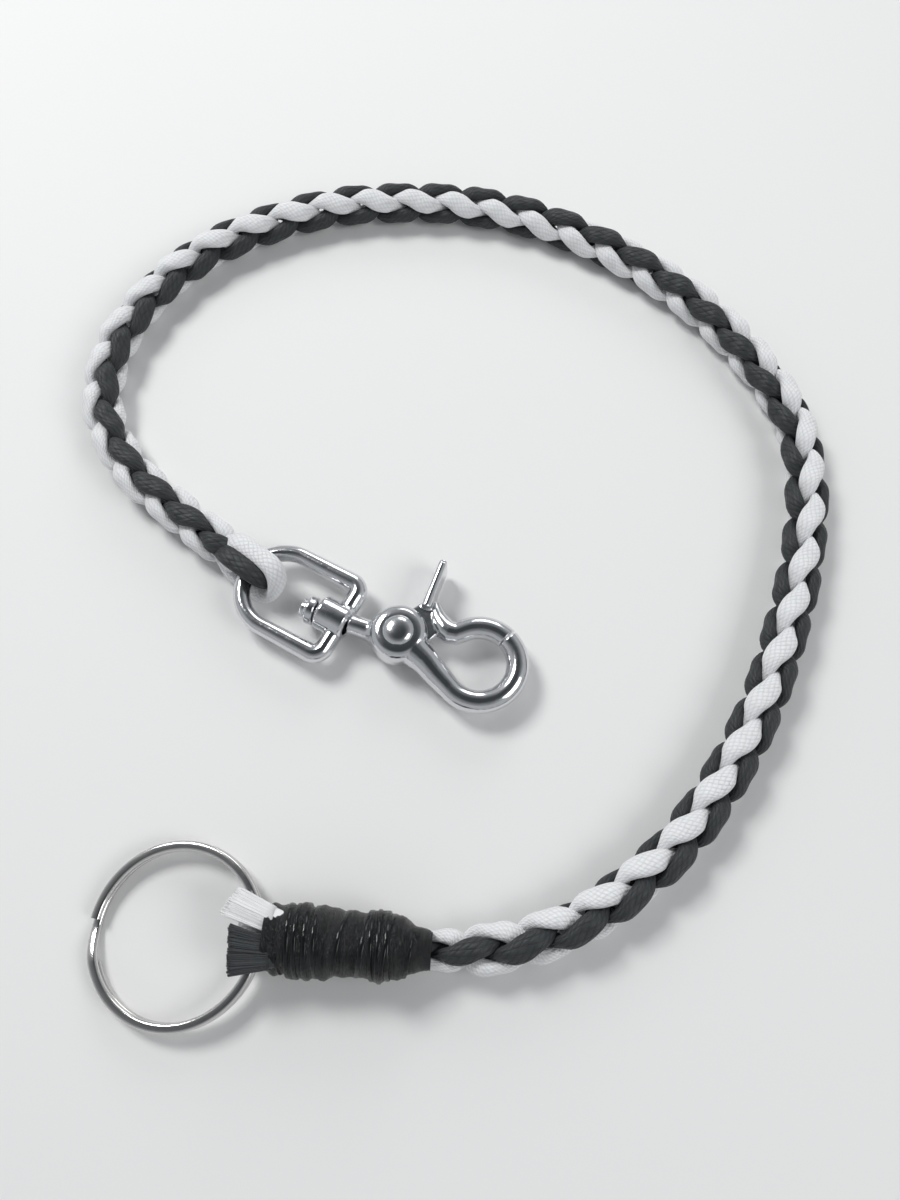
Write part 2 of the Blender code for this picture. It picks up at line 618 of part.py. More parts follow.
def eye_bights(arc_centre):
    """Model the white and the black cord where each turns round the eye's wire."""
    angle = math.radians(BIGHT_POSITION)
    crossing = (BOSS_MIDDLE
                + (arc_centre[0] + EYE_ARC_RADIUS * math.cos(angle)) * EYE_AXIS
                + EYE_ARC_RADIUS * math.sin(angle) * EYE_ACROSS)
    inward = -(math.cos(angle) * EYE_AXIS + math.sin(angle) * EYE_ACROSS)
    across = Vector((-inward.y, inward.x, 0))
    below = EYE_WIRE_RADIUS + BIGHT_ROOM_BELOW + BIGHT_THICKNESS / 2
    above = EYE_WIRE_RADIUS + BIGHT_ROOM_ABOVE + BIGHT_THICKNESS / 2
    braid_end = Vector((*BRAID_ROUTE[-1], SNAP_HEIGHT))
    leg = (crossing - braid_end).dot(inward) - GAP
    middle, half = (above - below) / 2, (above + below) / 2
    for name, finish, side, reach in (
            ("white_eye_bight", WHITE_CORD, 0.5, WHITE_BIGHT_REACH),
            ("black_eye_bight", BLACK_CORD, -0.5, BLACK_BIGHT_REACH)):
        bend = [(reach + half * math.sin(math.radians(turn)),
                 middle + half * math.cos(math.radians(turn))) for turn in range(0, 181, 12)]
        route = [(-leg, above)] + bend + [(-leg, -below)]
        base = crossing + side * BIGHT_SPACING * across
        points = [base + away * inward + Vector((0, 0, up)) for away, up in route]
        place(strap(name, points, BIGHT_WIDTH, BIGHT_THICKNESS), name, finish)
    return crossing, across


def main():
    """Build every piece."""
    clear_scene()
    split_ring()
    ring_loops()
    cut_tails()
    binding()
    braid()
    eye_arc_centre = swivel_eye()
    eye_bights(eye_arc_centre)
    snap = empty("snap_frame", SNAP_PLACE, SNAP_ANGLE)
    snap_body(snap)
    pivot_rivet(snap)
    trigger(snap)
    trigger_spring(snap)


main()
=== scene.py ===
"""Looks of the braided cord lanyard with a split ring and a swivel snap hook.

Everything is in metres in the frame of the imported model, which it loads first.
"""
from __future__ import annotations

import json
import logging
import math
from dataclasses import dataclass, field
from enum import Enum
from typing import Iterable, Sequence

import bmesh
import bpy
import numpy as np
from mathutils import Matrix, Vector

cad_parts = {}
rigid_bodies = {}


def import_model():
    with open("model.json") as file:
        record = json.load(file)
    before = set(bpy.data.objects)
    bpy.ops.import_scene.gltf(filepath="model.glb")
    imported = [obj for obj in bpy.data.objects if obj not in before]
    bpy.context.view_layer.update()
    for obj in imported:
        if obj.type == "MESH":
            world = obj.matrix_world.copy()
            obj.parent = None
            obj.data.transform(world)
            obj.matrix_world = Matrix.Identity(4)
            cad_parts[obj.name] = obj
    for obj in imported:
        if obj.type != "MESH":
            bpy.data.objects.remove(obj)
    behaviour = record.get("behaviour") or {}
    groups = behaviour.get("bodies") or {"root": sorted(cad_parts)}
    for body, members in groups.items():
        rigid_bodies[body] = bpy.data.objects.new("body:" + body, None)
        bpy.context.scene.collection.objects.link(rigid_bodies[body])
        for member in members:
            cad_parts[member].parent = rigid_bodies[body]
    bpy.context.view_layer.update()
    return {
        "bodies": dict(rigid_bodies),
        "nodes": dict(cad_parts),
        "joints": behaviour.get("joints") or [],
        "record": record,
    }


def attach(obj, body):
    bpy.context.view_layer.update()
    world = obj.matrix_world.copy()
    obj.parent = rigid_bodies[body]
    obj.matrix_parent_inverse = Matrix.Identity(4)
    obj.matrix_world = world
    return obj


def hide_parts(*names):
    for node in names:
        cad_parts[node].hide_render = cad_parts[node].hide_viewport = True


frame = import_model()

LOG = logging.getLogger("lanyard")
Point = Sequence[float]
Outline = list[tuple[float, float]]


class Body(Enum):
    """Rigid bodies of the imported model."""

    LANYARD = "lanyard"
    RING = "ring"
    EYE = "eye"
    SNAP = "snap"
    TRIGGER = "trigger_lever"


class Slot(Enum):
    """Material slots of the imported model's record."""

    WHITE_CORD = "white_cord"
    BLACK_CORD = "black_cord"
    WAXED_THREAD = "waxed_thread"
    RING_STEEL = "nickel_plated_steel"
    CHROME = "chromed_zinc"
    RIVET = "plated_rivet"
    SPRING = "spring_steel"


# ---------------------------------------------------------------- shader maths


class Field:
    """A shader socket, or a number, that takes part in Python expressions."""

    def __init__(self, graph: "Graph", socket: bpy.types.NodeSocket) -> None:
        """Keep the socket and the graph that new nodes go to."""
        self.graph = graph
        self.socket = socket

    def _math(self, operation: str, *others: "Field | float") -> "Field":
        """Add one Math node with this field as its first value."""
        return self.graph.math(operation, self, *others)

    def __add__(self, other: "Field | float") -> "Field":
        """Sum."""
        return self._math("ADD", other)

    __radd__ = __add__

    def __sub__(self, other: "Field | float") -> "Field":
        """Difference."""
        return self._math("SUBTRACT", other)

    def __rsub__(self, other: float) -> "Field":
        """Number minus field."""
        return self.graph.math("SUBTRACT", other, self)

    def __mul__(self, other: "Field | float") -> "Field":
        """Product."""
        return self._math("MULTIPLY", other)

    __rmul__ = __mul__

    def __pow__(self, other: float) -> "Field":
        """Power."""
        return self._math("POWER", other)

    def fract(self) -> "Field":
        """Part after the decimal point."""
        return self._math("FRACT")

    def floor(self) -> "Field":
        """Whole part."""
        return self._math("FLOOR")

    def sine(self) -> "Field":
        """Sine of an angle in radians."""
        return self._math("SINE")

    def clamped(self) -> "Field":
        """Held between 0 and 1."""
        return self.graph.math("ADD", self, 0.0, use_clamp=True)

    def mod(self, other: float) -> "Field":
        """Remainder that is never negative."""
        return self._math("FLOORED_MODULO", other)


class Graph:
    """The node tree of one material under construction."""

    def __init__(self, name: str) -> None:
        """Start a material with an empty Principled shader."""
        self.material = bpy.data.materials.new(name)
        self.material.use_nodes = True
        self.tree = self.material.node_tree
        self.shader = self.tree.nodes["Principled BSDF"]

    def node(self, kind: str, settings: dict | None = None, inputs: dict | None = None,
             output: int | str = 0) -> Field:
        """Add any node.

        Args:
            kind: the node's type.
            settings: its properties, which are set first.
            inputs: values or fields by socket name or number.
            output: the socket to return.

        Returns:
            The field at that output.
        """
        made = self.tree.nodes.new(kind)
        for key, value in (settings or {}).items():
            setattr(made, key, value)
        for key, value in (inputs or {}).items():
            self.feed(made.inputs[key], value)
        return Field(self, made.outputs[output])

    def feed(self, socket: bpy.types.NodeSocket, value: object) -> None:
        """Link a field to a socket, or set the socket's constant."""
        if isinstance(value, Field):
            self.tree.links.new(value.socket, socket)
        else:
            socket.default_value = value

    def math(self, operation: str, *values: object, use_clamp: bool = False) -> Field:
        """Add a Math node on fields and numbers."""
        settings = {"operation": operation, "use_clamp": use_clamp}
        return self.node("ShaderNodeMath", settings, dict(enumerate(values)))

    def blend(self, factor: Field | float, first: object, second: object) -> Field:
        """Mix two colours, given as fields or RGB tuples."""
        colours = [value if isinstance(value, Field) else (*value, 1.0)
                   for value in (first, second)]
        return self.node("ShaderNodeMix", {"data_type": "RGBA"},
                         {0: factor, 6: colours[0], 7: colours[1]}, 2)

    def noise(self, scale: float, detail: float = 2.0, stretch: Point = (1, 1, 1),
              where: Field | None = None) -> Field:
        """Add a noise pattern on object coordinates, or on the given ones."""
        where = where or self.node("ShaderNodeTexCoord", output="Object")
        placed = self.node("ShaderNodeMapping", inputs={"Vector": where, "Scale": stretch})
        return self.node("ShaderNodeTexNoise", inputs={"Vector": placed, "Scale": scale,
                                                       "Detail": detail}, output="Fac")

    def bump(self, height: Field, distance: float) -> None:
        """Feed the shader's normal with a height in units of the distance."""
        made = self.node("ShaderNodeBump", inputs={"Height": height, "Distance": distance,
                                                   "Strength": 1.0})
        self.feed(self.shader.inputs["Normal"], made)

    def set(self, **values: object) -> None:
        """Set or link the shader's inputs, with underscores for spaces."""
        for key, value in values.items():
            self.feed(self.shader.inputs[key.replace("_", " ")], value)


@dataclass(frozen=True)
class Finish:
    """A named finish with one colour and one gloss; each kind draws its own detail."""

    name: str
    colour: tuple[float, float, float]
    roughness: float = 0.5

    def material(self) -> bpy.types.Material:
        """Return the finish's material, made once."""
        found = bpy.data.materials.get(self.name)
        if found:
            return found
        graph = Graph(self.name)
        self.dress(graph)
        return graph.material

    def dress(self, graph: Graph) -> None:
        """Fill the graph with this kind of finish.

        Args:
            graph: the new material's node tree.
        """
        raise NotImplementedError(self.name)


@dataclass(frozen=True)
class WovenSheath(Finish):
    """Braided nylon sheath; the piece's weave map gives length and share of the way round."""

    # colour of the weave's valleys: painted shade where the yarns dip under each other
    valley_shade: tuple[float, float, float] = (0.4, 0.4, 0.4)
    carriers: int = 8
    pitch: float = 0.0016
    relief: float = 0.00022
    sheen: float = 0.25
    filament: float = 0.3

    def dress(self, graph: Graph) -> None:
        """Draw crossing yarns, each rounded, with fine filaments along them and painted shade in
        the weave's valleys.
        """
        place = graph.node("ShaderNodeUVMap", {"uv_map": "weave"})
        along = graph.node("ShaderNodeSeparateXYZ", inputs={0: place}, output=0)
        around = graph.node("ShaderNodeSeparateXYZ", inputs={0: place}, output=1)
        wander = (graph.noise(420.0) - 0.5) * 0.22
        right = along * (1 / self.pitch) + around * self.carriers + wander
        left = along * (1 / self.pitch) - around * self.carriers + wander
        over = (right.floor() + left.floor()).mod(2.0)
        across_right = 1.0 - (right.fract() * 2.0 - 1.0) ** 2.0
        across_left = 1.0 - (left.fract() * 2.0 - 1.0) ** 2.0
        crown = across_left * (0.45 + 0.55 * across_right) * over
        crown_other = across_right * (0.45 + 0.55 * across_left) * (1.0 - over)
        height = (crown + crown_other) ** 0.6
        strands = ((right * over + left * (1.0 - over)) * 25.0).sine() * self.filament
        fuzz = graph.noise(2600.0, 3.0)
        # the yarns' crowns keep the colour and their low valleys go to the valley colour: painted
        # shade; fuzz and strands add fine variation
        shade = (height * 0.85 + fuzz * 0.25 + strands * 0.12).clamped()
        patch = graph.noise(130.0, 3.0)
        colour = graph.blend(shade, self.valley_shade, self.colour)
        tired = graph.blend(patch * 0.35, colour, [c * 0.86 for c in self.colour])
        graph.set(Base_Color=tired, Roughness=(self.roughness + 0.15 * (0.5 - shade)),
                  Sheen_Weight=self.sheen, Sheen_Roughness=0.5)
        graph.bump(height + 0.1 * strands + 0.18 * fuzz, self.relief)


@dataclass(frozen=True)
class CutEnd(Finish):
    """Loose nylon filaments, drawn as fine lengthwise streaks."""

    shaded: float = 0.72
    relief: float = 0.00004

    def dress(self, graph: Graph) -> None:
        """Vary shade and height from filament to filament."""
        place = graph.node("ShaderNodeUVMap", {"uv_map": "weave"})
        streaks = graph.noise(1.0, 2.0, stretch=(60.0, 95.0, 1.0), where=place)
        dark = [c * self.shaded for c in self.colour]
        graph.set(Base_Color=graph.blend(streaks.clamped(), dark, self.colour),
                  Roughness=self.roughness, Sheen_Weight=0.1)
        graph.bump(streaks, self.relief)


@dataclass(frozen=True)
class WaxedThread(Finish):
    """Thread soaked in wax: dark and glossy, with smears and fine plies."""

    dusty: tuple[float, float, float] = (0.012, 0.013, 0.015)
    ply_turn: float = 5200.0  # radians of the ply pattern in a metre of thread
    ply_lean: float = 12.566  # radians of it in one round of the thread
    shine: float = 0.36
    relief: float = 0.00006

    def dress(self, graph: Graph) -> None:
        """Draw plies slanting across the thread under a wax skin."""
        place = graph.node("ShaderNodeUVMap", {"uv_map": "weave"})
        along = graph.node("ShaderNodeSeparateXYZ", inputs={0: place}, output=0)
        around = graph.node("ShaderNodeSeparateXYZ", inputs={0: place}, output=1)
        plies = (along * self.ply_turn + around * self.ply_lean).sine() * 0.5 + 0.5
        smear = graph.noise(700.0, 4.0)
        dust = graph.noise(160.0, 3.0)
        graph.set(Base_Color=graph.blend((smear * dust).clamped(), self.colour,
                                         self.dusty),
                  Roughness=(self.roughness + 0.3 * (smear - 0.45)).clamped())
        graph.shader.inputs["Specular IOR Level"].default_value = self.shine
        graph.bump(plies * 0.3 + smear * 0.8, self.relief)


@dataclass(frozen=True)
class PlatedMetal(Finish):
    """Bright plated metal with a faint orange-peel skin, smudges and pits."""

    waviness: float = 0.00004
    smudge: float = 0.16

    def dress(self, graph: Graph) -> None:
        """Vary tint and gloss in soft patches over a slightly uneven skin."""
        smudges = graph.noise(240.0, 4.0)
        skin = graph.noise(520.0, 2.0)
        grain = graph.noise(5200.0, 2.0)
        dull = [c * 0.8 for c in self.colour]
        graph.set(Base_Color=graph.blend((smudges * 0.7).clamped(), self.colour, dull),
                  Metallic=1.0,
                  Roughness=(self.roughness + self.smudge * (smudges - 0.45)).clamped())
        graph.bump(skin + 0.08 * grain, self.waviness)


@dataclass(frozen=True)
class FloorFinish(Finish):
    """Plain pale studio floor."""

    shine: float = 0.36

    def dress(self, graph: Graph) -> None:
        """Set one colour."""
        graph.set(Base_Color=(*self.colour, 1.0), Roughness=self.roughness)
        graph.shader.inputs["Specular IOR Level"].default_value = self.shine


WHITE_SHEATH = WovenSheath("white_sheath", (0.84, 0.85, 0.86), 0.7,
                           valley_shade=(0.60, 0.61, 0.63), carriers=13, pitch=0.0013,
                           relief=0.00012)
BLACK_SHEATH = WovenSheath("black_sheath", (0.024, 0.029, 0.032), 0.62,
                           valley_shade=(0.007, 0.008, 0.009), carriers=11, pitch=0.0028,
                           relief=0.00016, sheen=0.04)
# the cut ends' white is lighter than the sheath's white: painted light that offsets the shade among
# the loose fibres
CUT_WHITE = CutEnd("cut_white", (0.93, 0.935, 0.94), 0.6)
CUT_BLACK = CutEnd("cut_black", (0.026, 0.031, 0.035), 0.55)
WAX = WaxedThread("black_wax", (0.004, 0.0045, 0.005), 0.18)
CHROME = PlatedMetal("cast_chrome", (0.74, 0.75, 0.77), 0.13)
RING_PLATE = PlatedMetal("ring_plate", (0.70, 0.69, 0.68), 0.16, waviness=0.00002)
RIVET_PLATE = PlatedMetal("rivet_plate", (0.68, 0.69, 0.71), 0.17, waviness=0.00003)
SPRING_WIRE = PlatedMetal("spring_wire", (0.45, 0.45, 0.46), 0.3)
FLOOR = FloorFinish("pale_floor", (0.80, 0.80, 0.795), 0.75)


# ---------------------------------------------------------------- mesh helpers


def unit(rows: np.ndarray) -> np.ndarray:
    """Return rows scaled to length one."""
    return rows / np.maximum(np.linalg.norm(rows, axis=-1, keepdims=True), 1e-12)


def weave_map(walked: np.ndarray, sides: int) -> np.ndarray:
    """Lay out a swept cord's weave map.

    Args:
        walked: distance along the cord at each ring of points.
        sides: points round the section.

    Returns:
        Length and share of the way round for each face corner, with the two caps last.
    """
    share = np.arange(sides + 1) / sides
    low, upper = walked[:-1, None], walked[1:, None]
    corners = ((low, share[:-1]), (low, share[1:]), (upper, share[1:]), (upper, share[:-1]))
    cells = np.stack([np.stack(np.broadcast_arrays(length, around), -1)
                      for length, around in corners], 2)
    return np.concatenate([cells.reshape(-1, 2), np.zeros((2 * sides, 2))])


def soft_cord(name: str, centres: np.ndarray, outward: np.ndarray, high: np.ndarray,
              wide: np.ndarray, sides: int = 20, square: float = 0.85) -> bpy.types.Mesh:
    """Sweep a pressed round section along a path.

    Args:
        name: mesh name.
        centres: path points, n by 3.
        outward: direction of the section's height at each point.
        high: half height at each point.
        wide: half width at each point.
        sides: points round the section.
        square: below 1 the section fills its box more.

    Returns:
        A closed mesh with a weave map of length and share of the way round.
    """
    centres = np.asarray(centres, float)
    forward = unit(np.gradient(centres, axis=0))
    side = unit(np.cross(forward, outward))
    up = unit(np.cross(side, forward))
    turn = np.linspace(0, math.tau, sides, endpoint=False)
    flat = np.sign(np.cos(turn)) * np.abs(np.cos(turn)) ** square
    tall = np.sign(np.sin(turn)) * np.abs(np.sin(turn)) ** square
    rings = (centres[:, None] + side[:, None] * (np.asarray(wide)[:, None] * flat)[..., None]
             + up[:, None] * (np.asarray(high)[:, None] * tall)[..., None])
    count = len(centres)
    steps = np.linalg.norm(np.diff(centres, axis=0), axis=1)
    walked = np.concatenate([[0], np.cumsum(steps)])
    first = np.arange(count - 1)[:, None] * sides + np.arange(sides)
    after = np.arange(count - 1)[:, None] * sides + (np.arange(sides) + 1) % sides
    quads = np.stack([first, after, after + sides, first + sides], -1).reshape(-1, 4)
    faces = quads.tolist()
    faces.append(list(range(sides))[::-1])
    faces.append([(count - 1) * sides + index for index in range(sides)])
    data = bpy.data.meshes.new(name)
    data.from_pydata(rings.reshape(-1, 3).tolist(), [], faces)
    layer = data.uv_layers.new(name="weave")
    layer.data.foreach_set("uv", weave_map(walked, sides).astype(np.float32).ravel())
    shape = bmesh.new()
    shape.from_mesh(data)
    bmesh.ops.recalc_face_normals(shape, faces=shape.faces)
    shape.to_mesh(data)
    shape.free()
    data.shade_smooth()
    return data


def gather(name: str, parts: Iterable[bpy.types.Mesh]) -> bpy.types.Mesh:
    """Put several meshes in one, keeping their weave maps.

    Args:
        name: name of the new mesh.
        parts: meshes to put together.

    Returns:
        One smooth-shaded mesh.
    """
    shape = bmesh.new()
    for part in parts:
        shape.from_mesh(part)
    data = bpy.data.meshes.new(name)
    shape.to_mesh(data)
    shape.free()
    data.shade_smooth()
    return data


def show(data: bpy.types.Mesh, name: str, finish: Finish, slot: Slot, body: Body,
         *nodes: str) -> bpy.types.Object:
    """Put a finished mesh in the scene in place of CAD nodes.

    Args:
        data: mesh in the row frame.
        name: piece name.
        finish: its finish.
        slot: the record's slot; not used.
        body: the body that it rides on.
        nodes: CAD nodes that it stands for.

    Returns:
        The new object.
    """
    data.materials.clear()
    data.materials.append(finish.material())
    made = bpy.data.objects.new(name, data)
    bpy.context.scene.collection.objects.link(made)
    if nodes:
        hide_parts(*nodes)
    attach(made, body.value)
    LOG.info("%s: %d faces on %s", name, len(data.polygons), body.value)
    return made


def arc(centre: Point, radius: float, start: float, end: float, steps: int) -> Outline:
    """Lay out flat points on an arc.

    Args:
        centre: middle of the arc.
        radius: its radius.
        start: first angle from +X, in degrees.
        end: last angle, in degrees.
        steps: stretches between the points.

    Returns:
        The points, both ends with them.
    """
    turns = [math.radians(start + (end - start) * step / steps) for step in range(steps + 1)]
    return [(centre[0] + radius * math.cos(turn), centre[1] + radius * math.sin(turn))
            for turn in turns]


def spun(outline: Outline, steps: int = 64) -> bpy.types.Mesh:
    """Spin an outline about +Z.

    Args:
        outline: points of height and radius.
        steps: stretches in a full turn.

    Returns:
        A closed solid.
    """
    shape = bmesh.new()
    points = [shape.verts.new((radius, 0.0, height)) for height, radius in outline]
    edges = [shape.edges.new(pair) for pair in zip(points, points[1:])]
    bmesh.ops.spin(shape, geom=points + edges, axis=(0, 0, 1), cent=(0, 0, 0),
                   dvec=(0, 0, 0), angle=math.tau, steps=steps, use_merge=True,
                   use_normal_flip=False, use_duplicate=False)
    return closed(shape, "spun")


def slab(outline: Outline, low: float, high: float) -> bpy.types.Mesh:
    """Extrude a flat outline.

    Args:
        outline: corners in the XY plane.
        low: height of the lower face.
        high: height of the upper face.

    Returns:
        A closed solid.
    """
    shape = bmesh.new()
    face = shape.faces.new([shape.verts.new((x, y, low)) for x, y in outline])
    grown = bmesh.ops.extrude_face_region(shape, geom=[face])["geom"]
    upper = [item for item in grown if isinstance(item, bmesh.types.BMVert)]
    bmesh.ops.translate(shape, verts=upper, vec=(0, 0, high - low))
    return closed(shape, "slab")


def closed(shape: bmesh.types.BMesh, name: str) -> bpy.types.Mesh:
    """Merge doubles, face the mesh outwards and free the bmesh."""
    bmesh.ops.remove_doubles(shape, verts=shape.verts, dist=1e-7)
    bmesh.ops.recalc_face_normals(shape, faces=shape.faces)
    data = bpy.data.meshes.new(name)
    shape.to_mesh(data)
    shape.free()
    return data


def evaluated(made: bpy.types.Object) -> bpy.types.Mesh:
    """Return the object's mesh with its modifiers applied, and remove the object."""
    graph = bpy.context.evaluated_depsgraph_get()
    data = bpy.data.meshes.new_from_object(made.evaluated_get(graph))
    bpy.data.objects.remove(made, do_unlink=True)
    return data


def section_curve(section: Outline) -> bpy.types.Object:
    """Add a flat closed curve that a bar can be swept with.

    Args:
        section: corners of the section.

    Returns:
        The curve's object, which the caller removes.
    """
    profile = bpy.data.curves.new("section", "CURVE")
    profile.dimensions = "2D"
    loop = profile.splines.new("POLY")
    loop.points.add(len(section) - 1)
    loop.use_cyclic_u = True
    for target, (x, y) in zip(loop.points, section):
        target.co = (x, y, 0.0, 1.0)
    helper = bpy.data.objects.new("section", profile)
    bpy.context.scene.collection.objects.link(helper)
    return helper


def bar(points: Sequence[Point], radius: float, scales: Sequence[float] | None = None,
        cyclic: bool = False, resolution: int = 8,
        section: Outline | None = None) -> bpy.types.Mesh:
    """Sweep a round bar, or a closed section, along points with a curve.

    Args:
        points: corners of the path.
        radius: radius of a round bar.
        scales: share of the radius at each point.
        cyclic: whether the path closes on itself.
        resolution: fineness of the round section.
        section: a closed section to sweep instead of a round one.

    Returns:
        A closed solid.
    """
    data = bpy.data.curves.new("bar", "CURVE")
    data.dimensions = "3D"
    data.use_fill_caps = not cyclic
    spline = data.splines.new("POLY")
    spline.points.add(len(points) - 1)
    spline.use_cyclic_u = cyclic
    for index, (target, point) in enumerate(zip(spline.points, points)):
        target.co = (*point, 1.0)
        target.radius = scales[index] if scales else 1.0
    helper = None
    if section is None:
        data.bevel_depth = radius
        data.bevel_resolution = resolution
    else:
        helper = section_curve(section)
        data.bevel_mode = "OBJECT"
        data.bevel_object = helper
        data.twist_mode = "Z_UP"
    made = bpy.data.objects.new("bar", data)
    bpy.context.scene.collection.objects.link(made)
    mesh = evaluated(made)
    if helper is not None:
        bpy.data.objects.remove(helper, do_unlink=True)
    shape = bmesh.new()
    shape.from_mesh(mesh)
    return closed(shape, "bar")


class Casting:
    """A cast piece: solids joined and cut, then blended into one soft skin."""

    def __init__(self, first: bpy.types.Mesh) -> None:
        """Start from a closed solid."""
        self.made = bpy.data.objects.new("casting", first)
        bpy.context.scene.collection.objects.link(self.made)
        self.helpers: list[bpy.types.Object] = []

    def _step(self, solid: bpy.types.Mesh, operation: str) -> "Casting":
        """Add one exact Boolean."""
        helper = bpy.data.objects.new("helper", solid)
        bpy.context.scene.collection.objects.link(helper)
        helper.hide_render = True
        self.helpers.append(helper)
        step = self.made.modifiers.new("step", "BOOLEAN")
        step.operation = operation
        step.solver = "EXACT"
        step.object = helper
        return self

    def add(self, solid: bpy.types.Mesh) -> "Casting":
        """Join a solid."""
        return self._step(solid, "UNION")

    def cut(self, solid: bpy.types.Mesh) -> "Casting":
        """Cut a solid away."""
        return self._step(solid, "DIFFERENCE")

    def poured(self, voxel: float, passes: int, place: Matrix) -> bpy.types.Mesh:
        """Blend the solids into one skin and move it to its place.

        Args:
            voxel: grain of the skin.
            passes: smoothing passes.
            place: where the casting's own frame lies.

        Returns:
            The finished mesh.
        """
        skin = self.made.modifiers.new("skin", "REMESH")
        skin.mode = "VOXEL"
        skin.voxel_size = voxel
        soften = self.made.modifiers.new("soften", "SMOOTH")
        soften.factor = 0.5
        soften.iterations = passes
        data = evaluated(self.made)
        for helper in self.helpers:
            bpy.data.objects.remove(helper, do_unlink=True)
        data.transform(place)
        data.shade_smooth()
        return data


# ---------------------------------------------------------------- camera and studio


@dataclass
class Studio:
    """Camera, floor and soft lights."""

    camera_place: tuple[float, float, float] = (0.02779, -0.03480, 0.18889)
    right: tuple[float, float, float] = (0.999974, -0.002586, -0.006781)
    down: tuple[float, float, float] = (-0.004816, -0.935413, -0.353523)
    lens: float = 27.25368
    floor_size: float = 4.0

    def camera(self) -> None:
        """Add the camera."""
        data = bpy.data.cameras.new("camera")
        data.sensor_width = 36.0
        data.lens = self.lens
        data.clip_start = 0.005
        made = bpy.data.objects.new("camera", data)
        bpy.context.scene.collection.objects.link(made)
        right, up = Vector(self.right), -Vector(self.down)
        back = right.cross(up)
        turn = Matrix((right, up, back)).transposed().to_4x4()
        made.matrix_world = Matrix.Translation(self.camera_place) @ turn
        bpy.context.scene.camera = made

    def floor(self) -> None:
        """Add the floor."""
        shape = bmesh.new()
        bmesh.ops.create_grid(shape, x_segments=1, y_segments=1, size=self.floor_size / 2)
        data = bpy.data.meshes.new("floor")
        shape.to_mesh(data)
        shape.free()
        data.materials.append(FLOOR.material())
        made = bpy.data.objects.new("floor", data)
        bpy.context.scene.collection.objects.link(made)

    def lamp(self, name: str, place: Point, size: float, power: float) -> None:
        """Add a square lamp that shines at the middle of the lanyard.

        Args:
            name: the lamp's name.
            place: where it hangs.
            size: length of its side.
            power: in watts.
        """
        data = bpy.data.lights.new(name, "AREA")
        data.shape = "SQUARE"
        data.size = size
        data.energy = power
        made = bpy.data.objects.new(name, data)
        bpy.context.scene.collection.objects.link(made)
        made.location = place
        aim = Vector((0.03, 0.05, 0.0)) - Vector(place)
        made.rotation_euler = aim.to_track_quat("-Z", "Y").to_euler()

    def lights(self) -> None:
        """Add the lamps and the sky."""
        self.lamp("key", (-0.42, 0.50, 0.75), 0.30, 5.8)
        self.lamp("fill", (0.70, -0.25, 0.65), 0.45, 2.8)
        self.lamp("back", (0.20, 0.95, 0.45), 0.40, 1.6)
        world = bpy.data.worlds.new("studio")
        bpy.context.scene.world = world
        world.use_nodes = True
        tree = world.node_tree
        sky = tree.nodes["Background"]
        sky.inputs["Strength"].default_value = 0.50
        toward = tree.nodes.new("ShaderNodeTexCoord")
        parts = tree.nodes.new("ShaderNodeSeparateXYZ")
        ramp = tree.nodes.new("ShaderNodeValToRGB")
        tree.links.new(toward.outputs["Generated"], parts.inputs[0])
        tree.links.new(parts.outputs["Z"], ramp.inputs["Fac"])
        tree.links.new(ramp.outputs["Color"], sky.inputs["Color"])
        low, high = ramp.color_ramp.elements
        low.position, low.color = 0.55, (0.95, 0.97, 1.0, 1.0)
        high.position, high.color = 0.96, (0.10, 0.11, 0.12, 1.0)
        bpy.context.scene.view_settings.view_transform = "Standard"


# ---------------------------------------------------------------- braid


class Centreline:
    """A smooth flat route, read by distance along it."""

    def __init__(self, knots: Outline, height: float) -> None:
        """Fit a Catmull-Rom curve through the knots."""
        points = np.array([(x, y, height) for x, y in knots])
        points = np.vstack([2 * points[0] - points[1], points, 2 * points[-1] - points[-2]])
        fine = []
        for a, b, c, d in zip(points, points[1:], points[2:], points[3:]):
            for t in np.arange(40) / 40:
                fine.append(0.5 * (2 * b + (c - a) * t + (2 * a - 5 * b + 4 * c - d) * t ** 2
                                   + (3 * b - a - 3 * c + d) * t ** 3))
        fine.append(points[-2])
        self.fine = np.array(fine)
        steps = np.linalg.norm(np.diff(self.fine, axis=0), axis=1)
        self.walked = np.concatenate([[0], np.cumsum(steps)])
        self.length = float(self.walked[-1])
        heading = np.unwrap(np.arctan2(*np.gradient(self.fine, axis=0)[:, 1::-1].T))
        keep = np.exp(-np.linspace(-2, 2, 41) ** 2)
        padded = np.pad(heading, 20, mode="edge")
        self.heading = np.convolve(padded, keep / keep.sum(), "valid")

    def at(self, distance: np.ndarray) -> tuple[np.ndarray, np.ndarray]:
        """Return points and directions to the left of travel, run on straight at the ends."""
        inside = np.clip(distance, 0, self.length)
        point = np.stack([np.interp(inside, self.walked, self.fine[:, axis])
                          for axis in range(3)], 1)
        heading = np.interp(inside, self.walked, self.heading)
        forward = np.stack([np.cos(heading), np.sin(heading), 0 * heading], 1)
        point = point + forward * (distance - inside)[:, None]
        left = np.stack([-np.sin(heading), np.cos(heading), 0 * heading], 1)
        return point, left


